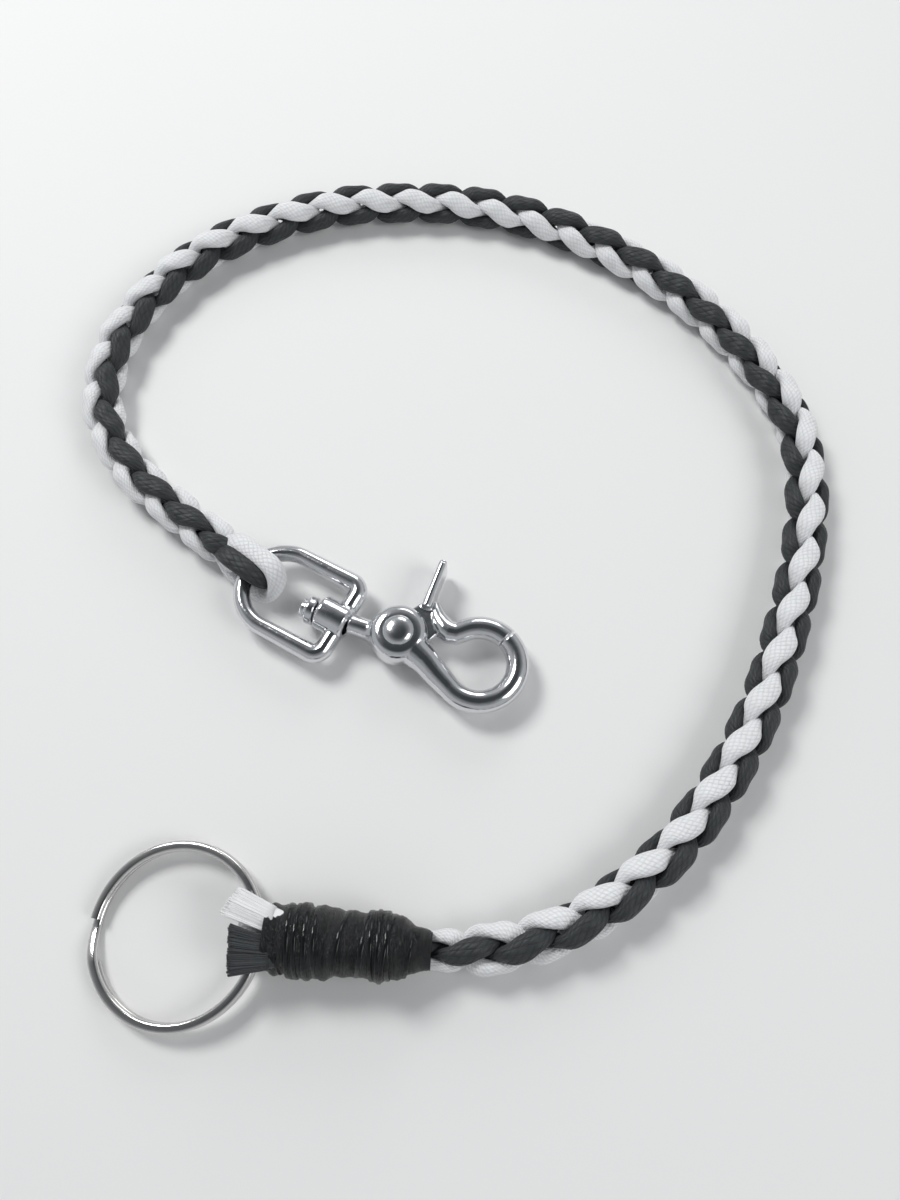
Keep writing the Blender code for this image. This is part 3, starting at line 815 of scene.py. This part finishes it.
@dataclass
class Braid:
    """Round braid of two white and two black strands."""

    diameter: float = 0.0096
    height: float = 0.0048
    pitch: float = 0.0220
    slowing: float = 0.6  # how long a strand keeps its flat side outwards
    reach: float = 0.00325  # farthest that a strand's middle gets from the braid's
    dwell: float = 1.8  # how long it stays there
    sway: tuple[float, float] = (0.00115, 0.00013)  # to the sides of its column
    half_height: tuple[float, float, float] = (0.00157, 0.00018, -0.00038)
    half_width: tuple[float, float, float] = (0.00212, 0.00022, 0.00010)
    end_share: float = 0.72  # of the full thickness, at both ends
    swelling: float = 0.010  # length over which the braid gets its full thickness
    thinning: float = 0.006
    end_sink: float = 0.0012
    step: float = 0.0005
    lead_in: float = 0.003
    run_out: float = 0.004
    route: Outline = field(default_factory=lambda: [
        (0.0238, -0.0360), (0.0325, -0.0360), (0.0415, -0.0345), (0.0500, -0.0315),
        (0.0575, -0.0275), (0.0710, -0.0170), (0.0825, -0.0030), (0.0915, 0.0120),
        (0.0985, 0.0280), (0.1040, 0.0440), (0.1075, 0.0610), (0.1070, 0.0785),
        (0.1000, 0.0950), (0.0905, 0.1090), (0.0780, 0.1215), (0.0640, 0.1315),
        (0.0480, 0.1395), (0.0310, 0.1440), (0.0135, 0.1450), (-0.0035, 0.1435),
        (-0.0200, 0.1380), (-0.0350, 0.1295), (-0.0470, 0.1165), (-0.0545, 0.1005),
        (-0.0550, 0.0835), (-0.0470, 0.0680), (-0.0340, 0.0560), (-0.0225, 0.0469),
    ])
    # distance along the braid and roll of the white columns from upright, degrees
    roll: Outline = field(default_factory=lambda: [
        (0.000, 88), (0.013, 80), (0.023, 64), (0.034, 46), (0.058, 22), (0.097, 13),
        (0.144, -9), (0.162, -26), (0.191, -55), (0.242, -115), (0.268, -142), (0.324, -170),
        (0.391, -243), (0.437, -284),
    ])

    def __post_init__(self) -> None:
        """Fit the centre line."""
        self.line = Centreline(self.route, self.height)

    @staticmethod
    def swelled(terms: tuple[float, float, float], over: np.ndarray) -> np.ndarray:
        """Return a half size that changes as a strand passes over and under."""
        level, crest, waist = terms
        return level + crest * over + waist * over ** 2

    def strand(self, name: str, black: bool, half_turn: int) -> bpy.types.Mesh:
        """Sweep one strand.

        Args:
            name: mesh name.
            black: whether it is a black strand, which winds the other way round.
            half_turn: 0 or 1, for the two strands of a colour.

        Returns:
            The strand's mesh.
        """
        count = int((self.line.length + self.lead_in + self.run_out) / self.step)
        distance = np.linspace(-self.lead_in, self.line.length + self.run_out, count)
        centre, left = self.line.at(distance)
        roll = np.radians(np.interp(distance, *zip(*self.roll)))
        wave = math.tau * (distance / self.pitch)
        sense = 1.0 if black else -1.0
        wave = wave - (math.pi / 2 if black else 0.0)
        column = roll + (math.pi / 2 if black else 0.0) + half_turn * math.pi
        over = np.cos(2 * wave)
        grown = np.clip((distance + 0.001) / self.swelling, 0, 1) ** 0.8
        left_over = np.clip((self.line.length + self.run_out - distance) / self.thinning, 0, 1)
        taper = self.end_share + (1 - self.end_share) * np.minimum(grown, left_over)
        seed = (2.1 if black else 0.4) + 1.7 * half_turn
        wobble = 1 + 0.02 * np.sin(distance * 310 + seed) + 0.015 * np.sin(distance * 811 + seed)
        rise = self.reach * np.tanh(self.dwell * np.cos(wave)) / math.tanh(self.dwell)
        aside = sense * (self.sway[0] * np.sin(wave) + self.sway[1] * np.sin(3 * wave))
        facing = column + sense * (wave - 0.5 * self.slowing * np.sin(2 * wave))

        def around(angle: np.ndarray) -> np.ndarray:
            """Return directions at angles from upright towards the left of travel."""
            return (np.cos(angle)[:, None] * np.array([0, 0, 1.0])
                    + np.sin(angle)[:, None] * left)

        path = centre + around(column) * (rise * taper)[:, None]
        path = path + around(column + math.pi / 2) * (aside * taper)[:, None]
        path[:, 2] -= (1 - taper) * self.end_sink
        size = taper * wobble
        return soft_cord(name, path, around(facing), self.swelled(self.half_height, over) * size,
                         self.swelled(self.half_width, over) * size, sides=24, square=0.94)

    def build(self) -> None:
        whites = gather("white_strands", [self.strand("white", False, turn)
                                          for turn in (0, 1)])
        blacks = gather("black_strands", [self.strand("black", True, turn)
                                          for turn in (0, 1)])
        dark = show(blacks, "black_strands", BLACK_SHEATH, Slot.BLACK_CORD, Body.LANYARD)
        pale = show(whites, "white_strands", WHITE_SHEATH, Slot.WHITE_CORD, Body.LANYARD,
                    "braid")
        path, _ = self.line.at(np.linspace(0, self.line.length, 140))


# ---------------------------------------------------------------- bound end


@dataclass
class BoundEnd:
    """Thread binding, the strands in it, the loops round the ring and the cut ends."""

    start: tuple[float, float] = (-0.0080, -0.0337)
    end: tuple[float, float] = (0.0231, -0.0360)
    height: float = 0.00665
    thread_wide: float = 0.00046
    thread_high: float = 0.00022
    pitch: float = 0.00078
    outline: Outline = field(default_factory=lambda: [
        (0.00, 0.0057), (0.02, 0.0060), (0.10, 0.0063), (0.19, 0.0066), (0.34, 0.0066),
        (0.45, 0.0062), (0.55, 0.0059), (0.63, 0.0064), (0.72, 0.0066), (0.81, 0.0059),
        (0.88, 0.0047), (0.94, 0.0041), (1.00, 0.0033)])
    skin_rows: int = 340
    skin_sides: int = 120
    ridge: float = 0.00012  # height of a turn that shows through the wax
    clearance: float = 0.00012  # under the binding, over the table
    # start and end share of the binding, turns, and first angle of each crossing layer
    layers: tuple[tuple[float, float, float, float], ...] = (
        (0.10, 0.34, 4.5, 2.1), (0.62, 0.78, 3.5, 4.4), (0.90, 0.40, 3.5, 0.7))
    loop_room: float = 0.00245
    loop_thickness: float = 0.0019
    loop_width: float = 0.0038
    loop_spacing: float = 0.0042
    hinge_distance: float = 0.001775
    tail_height: float = 0.0104
    tail_root: float = 0.003  # length of a tail inside the binding
    filaments: int = 560
    white_tail: Outline = field(default_factory=lambda: [
        (0.0, 0.0003), (0.0082, 0.0036), (0.0053, 0.0084), (0.0, 0.0050)])
    black_tail: Outline = field(default_factory=lambda: [
        (0.0, -0.0052), (0.0052, -0.0070), (0.0062, 0.0018), (0.0, -0.0003)])

    def __post_init__(self) -> None:
        """Work out the binding's axis and the ring's hinge."""
        self.low = np.array([*self.start, self.height])
        span = np.array([*self.end, self.height]) - self.low
        self.length = float(np.linalg.norm(span))
        self.axis = span / self.length
        self.across = np.array([-self.axis[1], self.axis[0], 0.0])
        self.up = np.array([0.0, 0.0, 1.0])
        loop_height = self.loop_room + self.loop_thickness + 0.0003
        self.hinge = self.low - self.hinge_distance * self.axis
        self.hinge[2] = loop_height

    def radius(self, share: np.ndarray) -> np.ndarray:
        """Return the binding's outer radius."""
        return np.interp(share, *zip(*self.outline))

    def lumps(self, share: np.ndarray, turn: np.ndarray) -> np.ndarray:
        """Return how far the layers under the skin swell or sink it."""
        swell = 0.00034 * np.sin(2 * turn + 23 * share) * np.sin(17 * share + 1)
        swell = swell + 0.00020 * np.sin(3 * turn - 37 * share + 2) * np.sin(29 * share)
        return swell + 0.00016 * np.sin(turn + 61 * share) - 0.00010

    def skin(self) -> bpy.types.Mesh:
        """Spin the waxed skin and press the turns and the lumps into it."""
        rows = np.linspace(0.0, 1.0, self.skin_rows)
        outline = [(0.0, 0.0)]
        outline += [(share * self.length, float(self.radius(share))) for share in rows]
        data = spun(outline + [(self.length, 0.0)], self.skin_sides)
        flat = np.empty(len(data.vertices) * 3)
        data.vertices.foreach_get("co", flat)
        points = flat.reshape(-1, 3)
        across, upward = -points[:, 1], points[:, 0]
        radius = np.hypot(across, upward)
        turn = np.arctan2(upward, across)
        share = points[:, 2] / self.length
        lean = 1.1 * np.sin(turn + 9 * share) + 0.8 * np.sin(13 * share + 2 * turn)
        wind = (math.tau * self.length * share / self.pitch + turn + lean) / 2
        ridge = np.abs(np.sin(wind)) ** 0.55
        wax = np.sin(19 * share + 2 * turn + 1.0) * np.sin(41 * share - turn)
        ridge = self.ridge * ridge * (0.60 - 0.40 * np.tanh(2.2 * wax))
        grown = radius - self.ridge + ridge + self.lumps(share, turn)
        sink = np.maximum(-np.sin(turn), 0.25)
        grown = np.minimum(grown, (self.height - self.clearance) / sink)
        factor = np.where(radius > 0.001, grown / np.maximum(radius, 0.001), 1.0)
        points[:, :2] *= factor[:, None]
        data.vertices.foreach_set("co", points.ravel())
        frame = Matrix([[*self.up, 0.0], [*(-self.across), 0.0], [*self.axis, 0.0],
                        [0.0, 0.0, 0.0, 1.0]]).transposed()
        data.transform(Matrix.Translation(self.low) @ frame)
        data.uv_layers.new(name="weave")
        data.shade_smooth()
        return data

    def binding(self) -> None:
        """Cover the strands with the waxed skin and cross a few turns over it."""
        parts = [self.skin()]
        for index, (begin, finish, count, lead) in enumerate(self.layers):
            steps = int(count * 44)
            t = np.linspace(0, 1, steps)
            turn = math.tau * count * t + lead
            share = begin + (finish - begin) * t
            share = share + 0.0045 * np.sin(turn / 3.1 + 1.3 * index) * np.sin(math.pi * t)
            rise = (self.radius(share) + self.lumps(share, turn) - 0.00007
                    + 0.00005 * np.sin(turn * 0.61 + index))
            sink = np.maximum(-np.sin(turn), 0.25)
            rise = np.minimum(rise, (self.height - 0.00008 - self.thread_high) / sink)
            outward = (np.cos(turn)[:, None] * self.across
                       + np.sin(turn)[:, None] * self.up)
            centre = self.low + (share * self.length)[:, None] * self.axis
            path = centre + outward * rise[:, None]
            ends = np.clip(np.minimum(t, 1 - t) * steps / 12, 0.25, 1)
            wide = self.thread_wide * (1 + 0.12 * np.sin(turn * 0.37 + index))
            parts.append(soft_cord("turns", path, outward,
                                   np.full(steps, self.thread_high) * ends, wide * ends,
                                   sides=10, square=0.8))
        show(gather("binding", parts), "binding", WAX, Slot.WAXED_THREAD, Body.LANYARD,
             "whipping_thread", "bound_strands")

    def loops(self) -> None:
        """Add the two cord loops that the ring turns in."""
        middle = self.loop_room + self.loop_thickness / 2
        bend = np.radians(np.linspace(90, 270, 30))
        inside = np.linspace(0.004, 0.0, 9)
        level, straight = 0 * inside, 1 + 0 * inside
        along = np.concatenate([inside, middle * np.cos(bend), inside[::-1]])
        upward = np.concatenate([middle * straight, middle * np.sin(bend), -middle * straight])
        normal_x = np.concatenate([level, np.cos(bend), level])
        normal_z = np.concatenate([straight, np.sin(bend), -straight])
        outward = normal_x[:, None] * self.axis + normal_z[:, None] * self.up
        for name, sheath, slot, side in (
                ("white_ring_loop", WHITE_SHEATH, Slot.WHITE_CORD, 0.5),
                ("black_ring_loop", BLACK_SHEATH, Slot.BLACK_CORD, -0.5)):
            base = self.hinge + side * self.loop_spacing * self.across
            path = base + along[:, None] * self.axis + upward[:, None] * self.up
            cord = soft_cord(name, path, outward, np.full(len(path), self.loop_thickness / 2),
                             np.full(len(path), self.loop_width / 2), sides=24)
            show(cord, name, sheath, slot, Body.LANYARD, name)

    def tail(self, name: str, corners: Outline, sheath: Finish, slot: Slot,
             seed: int) -> None:
        """Add one cut cord end: a pressed sheath that flares into loose filaments.

        Args:
            name: piece name, which is also the CAD node's.
            corners: distance out from the binding and across it, near side first.
            sheath: its finish.
            slot: the record's slot.
            seed: start of the filaments' random draws.
        """
        rng = np.random.default_rng(seed)
        root_near, tip_near, tip_far, root_far = [
            self.low - x * self.axis + y * self.across for x, y in corners]
        inward = self.tail_root * self.axis
        root_near, root_far = root_near + inward, root_far + inward
        middle = (root_near + root_far) / 2, (tip_near + tip_far) / 2
        half = (root_far - root_near) / 2, (tip_far - tip_near) / 2
        t = np.linspace(0, 0.72, 24)[:, None]
        path = middle[0] * (1 - t) + middle[1] * t
        path[:, 2] = self.tail_height - 0.0002 * np.cos(t[:, 0] * 4)
        spread = np.linalg.norm(half[0] * (1 - t) + half[1] * t, axis=1)
        high = np.interp(t[:, 0], (0, 0.4, 0.72), (0.0012, 0.0010, 0.0005))
        parts = [soft_cord(name, path, np.tile(self.up, (24, 1)), high, spread * 0.93,
                           sides=28)]
        for _ in range(self.filaments):
            lane = rng.uniform(-0.97, 0.97)
            rise = rng.uniform(-0.7, 1.15) * (1 - 0.35 * abs(lane))
            reach = rng.uniform(0.90, 1.05)
            s = np.linspace(0.15, reach, 6)[:, None]
            drift = rng.normal(0, 0.05)
            line = (middle[0] * (1 - s) + middle[1] * s
                    + (half[0] * (1 - s) + half[1] * s) * (lane + drift * (s - 0.4)))
            line[:, 2] = self.tail_height - 0.0001
            line[:, 2] += rise * np.interp(s[:, 0], (0.15, 1.05), (0.0010, 0.0011))
            thick = np.interp(s[:, 0], (0.15, 0.92, 1.05), (0.00016, 0.00019, 0.00014))
            parts.append(soft_cord("filament", line, np.tile(self.up, (6, 1)), thick, thick,
                                   sides=6))
        show(gather(name, parts), name, sheath, slot, Body.LANYARD, name)

    def build(self) -> None:
        """Add every piece of the bound end."""
        self.binding()
        self.loops()
        self.tail("white_tail_end", self.white_tail, CUT_WHITE, Slot.WHITE_CORD, 3)
        self.tail("black_tail_end", self.black_tail, CUT_BLACK, Slot.BLACK_CORD, 7)


@dataclass
class SplitRing:
    """Flat wire in almost two turns."""

    outer_radius: float = 0.0174
    wire_width: float = 0.0019
    wire_height: float = 0.0014
    turn_gap: float = 0.00015
    step_angle: float = 26.0
    start_angle: float = 200.0
    heading: float = -2.0
    end_gap: float = 0.0006
    corner: float = 0.0006
    steps: int = 360

    def build(self, hinge: np.ndarray) -> None:
        """Sweep the wire and tilt it down from its hinge.

        Args:
            hinge: where the ring turns in the cord loops.
        """
        middle = self.outer_radius - self.wire_width / 2
        turns = 720 - self.step_angle - math.degrees(self.end_gap / middle)
        climb = self.wire_height + self.turn_gap
        points = []
        for step in range(self.steps + 1):
            angle = turns * step / self.steps
            share = min(max((angle - 360 + self.step_angle) / self.step_angle, 0.0), 1.0)
            lift = climb * (share * share * (3 - 2 * share) - 0.5)
            heading = math.radians(angle + self.start_angle)
            points.append((middle * (math.cos(heading) - 1), middle * math.sin(heading), lift))
        section: Outline = []
        for quarter in range(4):
            x = (1 if quarter in (0, 3) else -1) * (self.wire_width / 2 - self.corner)
            y = (1 if quarter in (0, 1) else -1) * (self.wire_height / 2 - self.corner)
            section += arc((x, y), self.corner, 90 * quarter, 90 * quarter + 90, 5)
        data = bar(points, 0.0, section=section)
        stack = 2 * self.wire_height + self.turn_gap
        tilt = math.asin((hinge[2] - stack / 2 - 0.0001) / (2 * middle))
        turn = (Matrix.Rotation(math.radians(self.heading), 4, "Z")
                @ Matrix.Rotation(-tilt, 4, "Y"))
        data.transform(Matrix.Translation(Vector(hinge)) @ turn)
        data.shade_smooth()
        data.set_sharp_from_angle(angle=math.radians(50))
        show(data, "split_ring", RING_PLATE, Slot.RING_STEEL, Body.RING, "split_ring")


# ---------------------------------------------------------------- swivel eye and snap hook


@dataclass
class SnapHook:
    """Swivel eye, cast body, trigger, rivet and spring."""

    origin: tuple[float, float, float] = (0.01545, 0.02567, 0.0049)
    angle: float = -20.0
    eye_angle: float = -29.0
    eye_distance: float = 0.01464
    eye_length: float = 0.0273
    eye_width: float = 0.0218
    wire: float = 0.0037
    boss_length: float = 0.0071
    eye_corner: float = 0.0042  # outside, at the flat end
    flat_end_swell: float = 1.12
    boss_radius: float = 0.0038
    boss_edge: float = 0.0006
    bore_radius: float = 0.00236
    shank_radius: float = 0.0018
    cheek_radius: float = 0.0063
    half: float = 0.0038
    rivet_offset: float = 0.0011
    jaw_centre: tuple[float, float] = (0.0182, 0.0008)
    jaw_radius: float = 0.00815
    jaw_bar: float = 0.00245
    tip_angle: float = 62.0
    tip_room: float = 1.05  # degrees from the meeting line to each jaw's end
    hub_radius: float = 0.0044
    hub_half: float = 0.00145
    slot_half: float = 0.0017
    drill_radius: float = 0.0016
    cheek_rounding: float = 0.0024
    shank_head: float = 0.0031
    rivet_head: float = 0.0035
    rivet_rise: float = 0.0010
    rivet_seat: float = 0.0006
    coil_radius: float = 0.0025
    coil_wire: float = 0.00025
    coil_pitch: float = 0.00065
    coil_turns: float = 2.25
    bight_angle: float = 172.0  # degrees round the eye's arc
    bight_below: float = 0.0035
    bight_above: float = 0.0042
    bight_half: tuple[float, float] = (0.00150, 0.00225)  # height and width

    def __post_init__(self) -> None:
        """Work out the frames of the snap and of the eye."""
        turn = Matrix.Rotation(math.radians(self.angle), 4, "Z")
        self.place = Matrix.Translation(self.origin) @ turn
        shank = turn @ Vector((1, 0, 0))
        self.boss = Vector(self.origin) - self.eye_distance * shank
        self.eye_place = (Matrix.Translation(self.boss)
                          @ Matrix.Rotation(math.radians(self.eye_angle), 4, "Z"))
        self.rivet_place = self.place @ Matrix.Translation((0, self.rivet_offset, 0))
        self.arc_centre = (self.boss_length / 2 - self.eye_length + self.eye_width / 2, 0.0)
        self.arc_radius = (self.eye_width - self.wire) / 2

    @staticmethod
    def lying(data: bpy.types.Mesh) -> bpy.types.Mesh:
        """Turn a spun piece's axis from +Z to +X."""
        data.transform(Matrix.Rotation(math.radians(90), 4, "Y"))
        return data

    def eye(self) -> None:
        """Cast the D-shaped eye with its boss."""
        radius = self.wire / 2
        flat = self.boss_length / 2 - radius
        corner = self.eye_corner - radius
        side = self.arc_radius - corner
        round_end = arc(self.arc_centre, self.arc_radius, 90, 270, 60)
        flat_end = arc((flat - corner, -side), corner, 270, 360, 14)
        flat_end += arc((flat - corner, side), corner, 0, 90, 14)
        outline = round_end + flat_end
        scales = [1.0] * len(round_end) + [self.flat_end_swell] * len(flat_end)
        length = self.boss_length / 2
        edge = self.boss_edge
        boss = self.lying(spun([
            (-length, 0.0), (-length, self.boss_radius - edge),
            (-length + edge, self.boss_radius), (length - edge, self.boss_radius),
            (length, self.boss_radius - edge), (length, 0.0)]))
        bore = self.lying(spun([(-2 * length, 0.0), (-2 * length, self.bore_radius),
                                (2 * length, self.bore_radius), (2 * length, 0.0)]))
        ring = bar([(x, y, 0.0) for x, y in outline], radius, scales, cyclic=True)
        cast = Casting(ring).add(boss).cut(bore)
        show(cast.poured(0.00016, 8, self.eye_place), "swivel_eye", CHROME, Slot.CHROME,
             Body.EYE, "swivel_eye")

    def body(self) -> None:
        """Cast the body: shank, cheeks with a slot, arm and fixed jaw."""
        half, rounding, head = self.half, self.cheek_rounding, self.shank_head
        cheek = spun([(-half, 0.0), (-half, self.cheek_radius - rounding)]
                     + [(-half + rounding * (1 - math.cos(turn)),
                         self.cheek_radius - rounding * (1 - math.sin(turn)))
                        for turn in np.radians((22, 45, 68, 90))]
                     + [(half - rounding * (1 - math.cos(turn)),
                         self.cheek_radius - rounding * (1 - math.sin(turn)))
                        for turn in np.radians((90, 68, 45, 22))]
                     + [(half, self.cheek_radius - rounding), (half, 0.0)], 96)
        cheek.transform(Matrix.Translation((0, self.rivet_offset, 0)))
        shank = self.lying(spun([
            (-0.0221, 0.0), (-0.0221, head - 0.0012), (-0.0218, head - 0.0009),
            (-0.0207, head - 0.0009), (-0.0206, head - 0.0001), (-0.0204, head),
            (-0.0189, head), (-0.0187, head - 0.0003), (-0.0187, self.shank_radius),
            (-0.0111, self.shank_radius), (-0.0110, 0.0022), (-0.0066, 0.0023),
            (-0.0058, 0.0027), (-0.0048, 0.0033), (-0.0025, 0.0034), (-0.0025, 0.0)], 64))
        arm = [(0.0015, 0.0002, 1.50), (0.0045, -0.0010, 1.46), (0.0076, -0.0024, 1.30),
               (0.0107, -0.0044, 1.12)]
        bend = arc(self.jaw_centre, self.jaw_radius, -122, self.tip_angle - self.tip_room, 50)
        route = arm + [(x, y, 1.0) for x, y in bend]
        jaw = bar([(x, y, 0.0) for x, y, _ in route], self.jaw_bar,
                  [scale for _, _, scale in route])
        room = self.hub_radius + 0.0003
        middle = (0.0, self.rivet_offset)
        slot = slab(arc(middle, room, 142, 348, 40)
                    + arc(middle, 2 * self.cheek_radius, -12, 142, 9),
                    -self.slot_half, self.slot_half)
        drill = spun([(-2 * half, 0.0), (-2 * half, self.drill_radius),
                      (2 * half, self.drill_radius), (2 * half, 0.0)])
        drill.transform(Matrix.Translation((0, self.rivet_offset, 0)))
        cast = Casting(cheek).add(shank).add(jaw).cut(slot).cut(drill)
        show(cast.poured(0.00017, 14, self.place), "snap_body", CHROME, Slot.CHROME,
             Body.SNAP, "snap_body")

    def trigger(self) -> None:
        """Cast the trigger: hub, upper jaw and thumb tab."""
        half = self.hub_half
        jaw = (self.jaw_centre[0], self.jaw_centre[1] - self.rivet_offset)
        tab_x, tab_low, thick = 0.0035, self.cheek_radius + 0.0003, 0.0019
        hub = slab(arc((0, 0), self.hub_radius, 100, 352, 48)
                   + [(0.0068, 0.0010), (0.0080, 0.0034), (0.0056, 0.0066),
                      (tab_x + thick / 2, tab_low + 0.002),
                      (tab_x - thick / 2, tab_low + 0.002)], -half, half)
        bend = arc(jaw, self.jaw_radius, self.tip_angle + self.tip_room, 128, 26)
        root = [(0.0113, 0.0045, 0.0025), (0.0099, 0.0043, 0.0026),
                (0.0087, 0.0047, 0.0025), (0.0076, 0.0055, 0.0023),
                (0.0065, 0.0065, 0.0020), (0.0055, 0.0078, 0.0017),
                (0.0046, 0.0093, 0.0013)]
        route = [(x, y, 0.0) for x, y in bend] + [(x, y, 0.0) for x, y, _ in root]
        upper = bar(route, self.jaw_bar,
                    [1.0] * len(bend) + [radius / self.jaw_bar for _, _, radius in root])
        foot, tip = tab_low + 0.0005, tab_low + 0.0112
        tab = slab([(tab_x - 0.5 * thick, foot), (tab_x + 0.6 * thick, foot),
                    (tab_x + 0.5 * thick, foot + 0.004)]
                   + arc((tab_x, tip), 0.52 * thick, 5, 175, 10)
                   + [(tab_x - 0.5 * thick, foot + 0.004)], -0.0027, 0.0027)
        edges = [bar([(tab_x, foot, side), (tab_x, foot + 0.0050, side), (tab_x, tip, side)],
                     thick / 2, [1.2, 1.02, 1.0]) for side in (-0.0026, 0.0026)]
        web = bar([(0.0040, 0.0022, 0.0), (0.0066, 0.0034, 0.0), (0.0088, 0.0041, 0.0),
                   (0.0113, 0.0046, 0.0)], half, [1.0, 1.0, 1.35, 1.6])
        drill = spun([(-0.004, 0.0), (-0.004, self.drill_radius),
                      (0.004, self.drill_radius), (0.004, 0.0)])
        cast = Casting(hub)
        for piece in (upper, web, tab, *edges):
            cast.add(piece)
        cast.cut(drill)
        show(cast.poured(0.00016, 14, self.rivet_place), "trigger", CHROME, Slot.CHROME,
             Body.TRIGGER, "trigger")

    def rivet(self) -> None:
        """Turn the rivet with a domed head on both sides."""
        under, top, head = self.half - self.rivet_seat, self.half + self.rivet_rise, self.rivet_head
        dome = [(under, 0.0014), (under, head)]
        dome += [(under + (top - under) * math.sin(turn), head * math.cos(turn) ** 0.75)
                 for turn in np.radians((10, 20, 30, 40, 50, 60, 68, 75, 80, 85))]
        outline = [(top, 0.0)] + dome[::-1] + [(-height, radius) for height, radius in dome]
        data = spun(outline + [(-top, 0.0)], 64)
        data.transform(self.rivet_place)
        data.shade_smooth()
        data.set_sharp_from_angle(angle=math.radians(40))
        show(data, "pivot_rivet", RIVET_PLATE, Slot.RIVET, Body.SNAP, "pivot_rivet")

    def spring(self) -> None:
        """Wind the torsion spring."""
        floor, steps, turns = -0.00020, 160, self.coil_turns
        coil = []
        for step in range(steps + 1):
            turn = math.radians(215) - math.tau * turns * (1 - step / steps)
            coil.append((self.coil_radius * math.cos(turn), self.coil_radius * math.sin(turn),
                         floor + self.coil_pitch * turns * step / steps))
        reach = math.radians(210)
        coil += [(r * math.cos(reach), r * math.sin(reach), coil[-1][2])
                 for r in (0.0028, 0.00425)]
        data = bar(coil, self.coil_wire, resolution=4)
        data.transform(self.rivet_place)
        data.shade_smooth()
        show(data, "trigger_spring", SPRING_WIRE, Slot.SPRING, Body.SNAP, "trigger_spring")

    def bights(self, braid_end: np.ndarray) -> None:
        """Lead the cord round the eye's far end and back into the braid.

        Args:
            braid_end: middle of the braid where it ends.
        """
        turn = math.radians(self.bight_angle)
        crossing = np.array(self.eye_place @ Vector((
            self.arc_centre[0] + self.arc_radius * math.cos(turn),
            self.arc_radius * math.sin(turn), 0.0)))
        facing = self.eye_place.to_3x3() @ Vector((-math.cos(turn), -math.sin(turn), 0.0))
        inward = np.array(facing)
        across = np.array([-inward[1], inward[0], 0.0])
        up = np.array([0.0, 0.0, 1.0])
        below, above = self.bight_below, self.bight_above
        leg = float((crossing - braid_end) @ inward)
        middle, half = (above - below) / 2, (above + below) / 2
        bend = np.radians(np.linspace(0, 180, 30))
        inside = np.linspace(-leg - 0.0025, -0.0002, 16)
        for name, sheath, slot, sides, reach in (
                ("white_eye_bight", WHITE_SHEATH, Slot.WHITE_CORD, (0.0023, -0.0024), 0.0034),
                ("black_eye_bight", BLACK_SHEATH, Slot.BLACK_CORD, (-0.0016, 0.0012), 0.0004)):
            away = np.concatenate([inside, reach + half * np.sin(bend), inside[::-1]])
            deep = np.clip((-inside - leg + 0.0040) / 0.0065, 0, 1)
            deep = deep * deep * (3 - 2 * deep)
            rise = np.concatenate([above * (1 - deep), middle + half * np.cos(bend),
                                   (-below * (1 - deep))[::-1]])
            drift = np.concatenate([deep, 0 * bend, deep[::-1]])
            swap = np.concatenate([0 * deep, (1 - np.cos(bend)) / 2, 1 + 0 * deep])
            normal = np.concatenate([0 * deep, np.sin(bend), 0 * deep])
            normal_up = np.concatenate([1 + 0 * deep, np.cos(bend), -1 + 0 * deep])
            aside = (sides[0] * (1 - swap) + sides[1] * swap) * (1 - 0.8 * drift)
            path = (crossing + aside[:, None] * across + away[:, None] * inward
                    + rise[:, None] * up)
            outward = normal[:, None] * inward + normal_up[:, None] * up
            high, wide = (np.full(len(path), size) for size in self.bight_half)
            cord = soft_cord(name, path, outward, high, wide, sides=24)
            show(cord, name, sheath, slot, Body.LANYARD, name)

    def build(self, braid_end: np.ndarray) -> None:
        """Add every piece of the snap hook."""
        self.eye()
        self.bights(braid_end)
        self.body()
        self.trigger()
        self.rivet()
        self.spring()


def main() -> None:
    """Build the scene: camera and cord first."""
    logging.basicConfig(level=logging.INFO, format="%(message)s")
    studio = Studio()
    studio.camera()
    braid = Braid()
    braid.build()
    bound = BoundEnd()
    bound.build()
    SplitRing().build(bound.hinge)
    end, _ = braid.line.at(np.array([braid.line.length]))
    SnapHook().build(end[0])
    studio.floor()
    studio.lights()


if __name__ == "__main__":
    main()
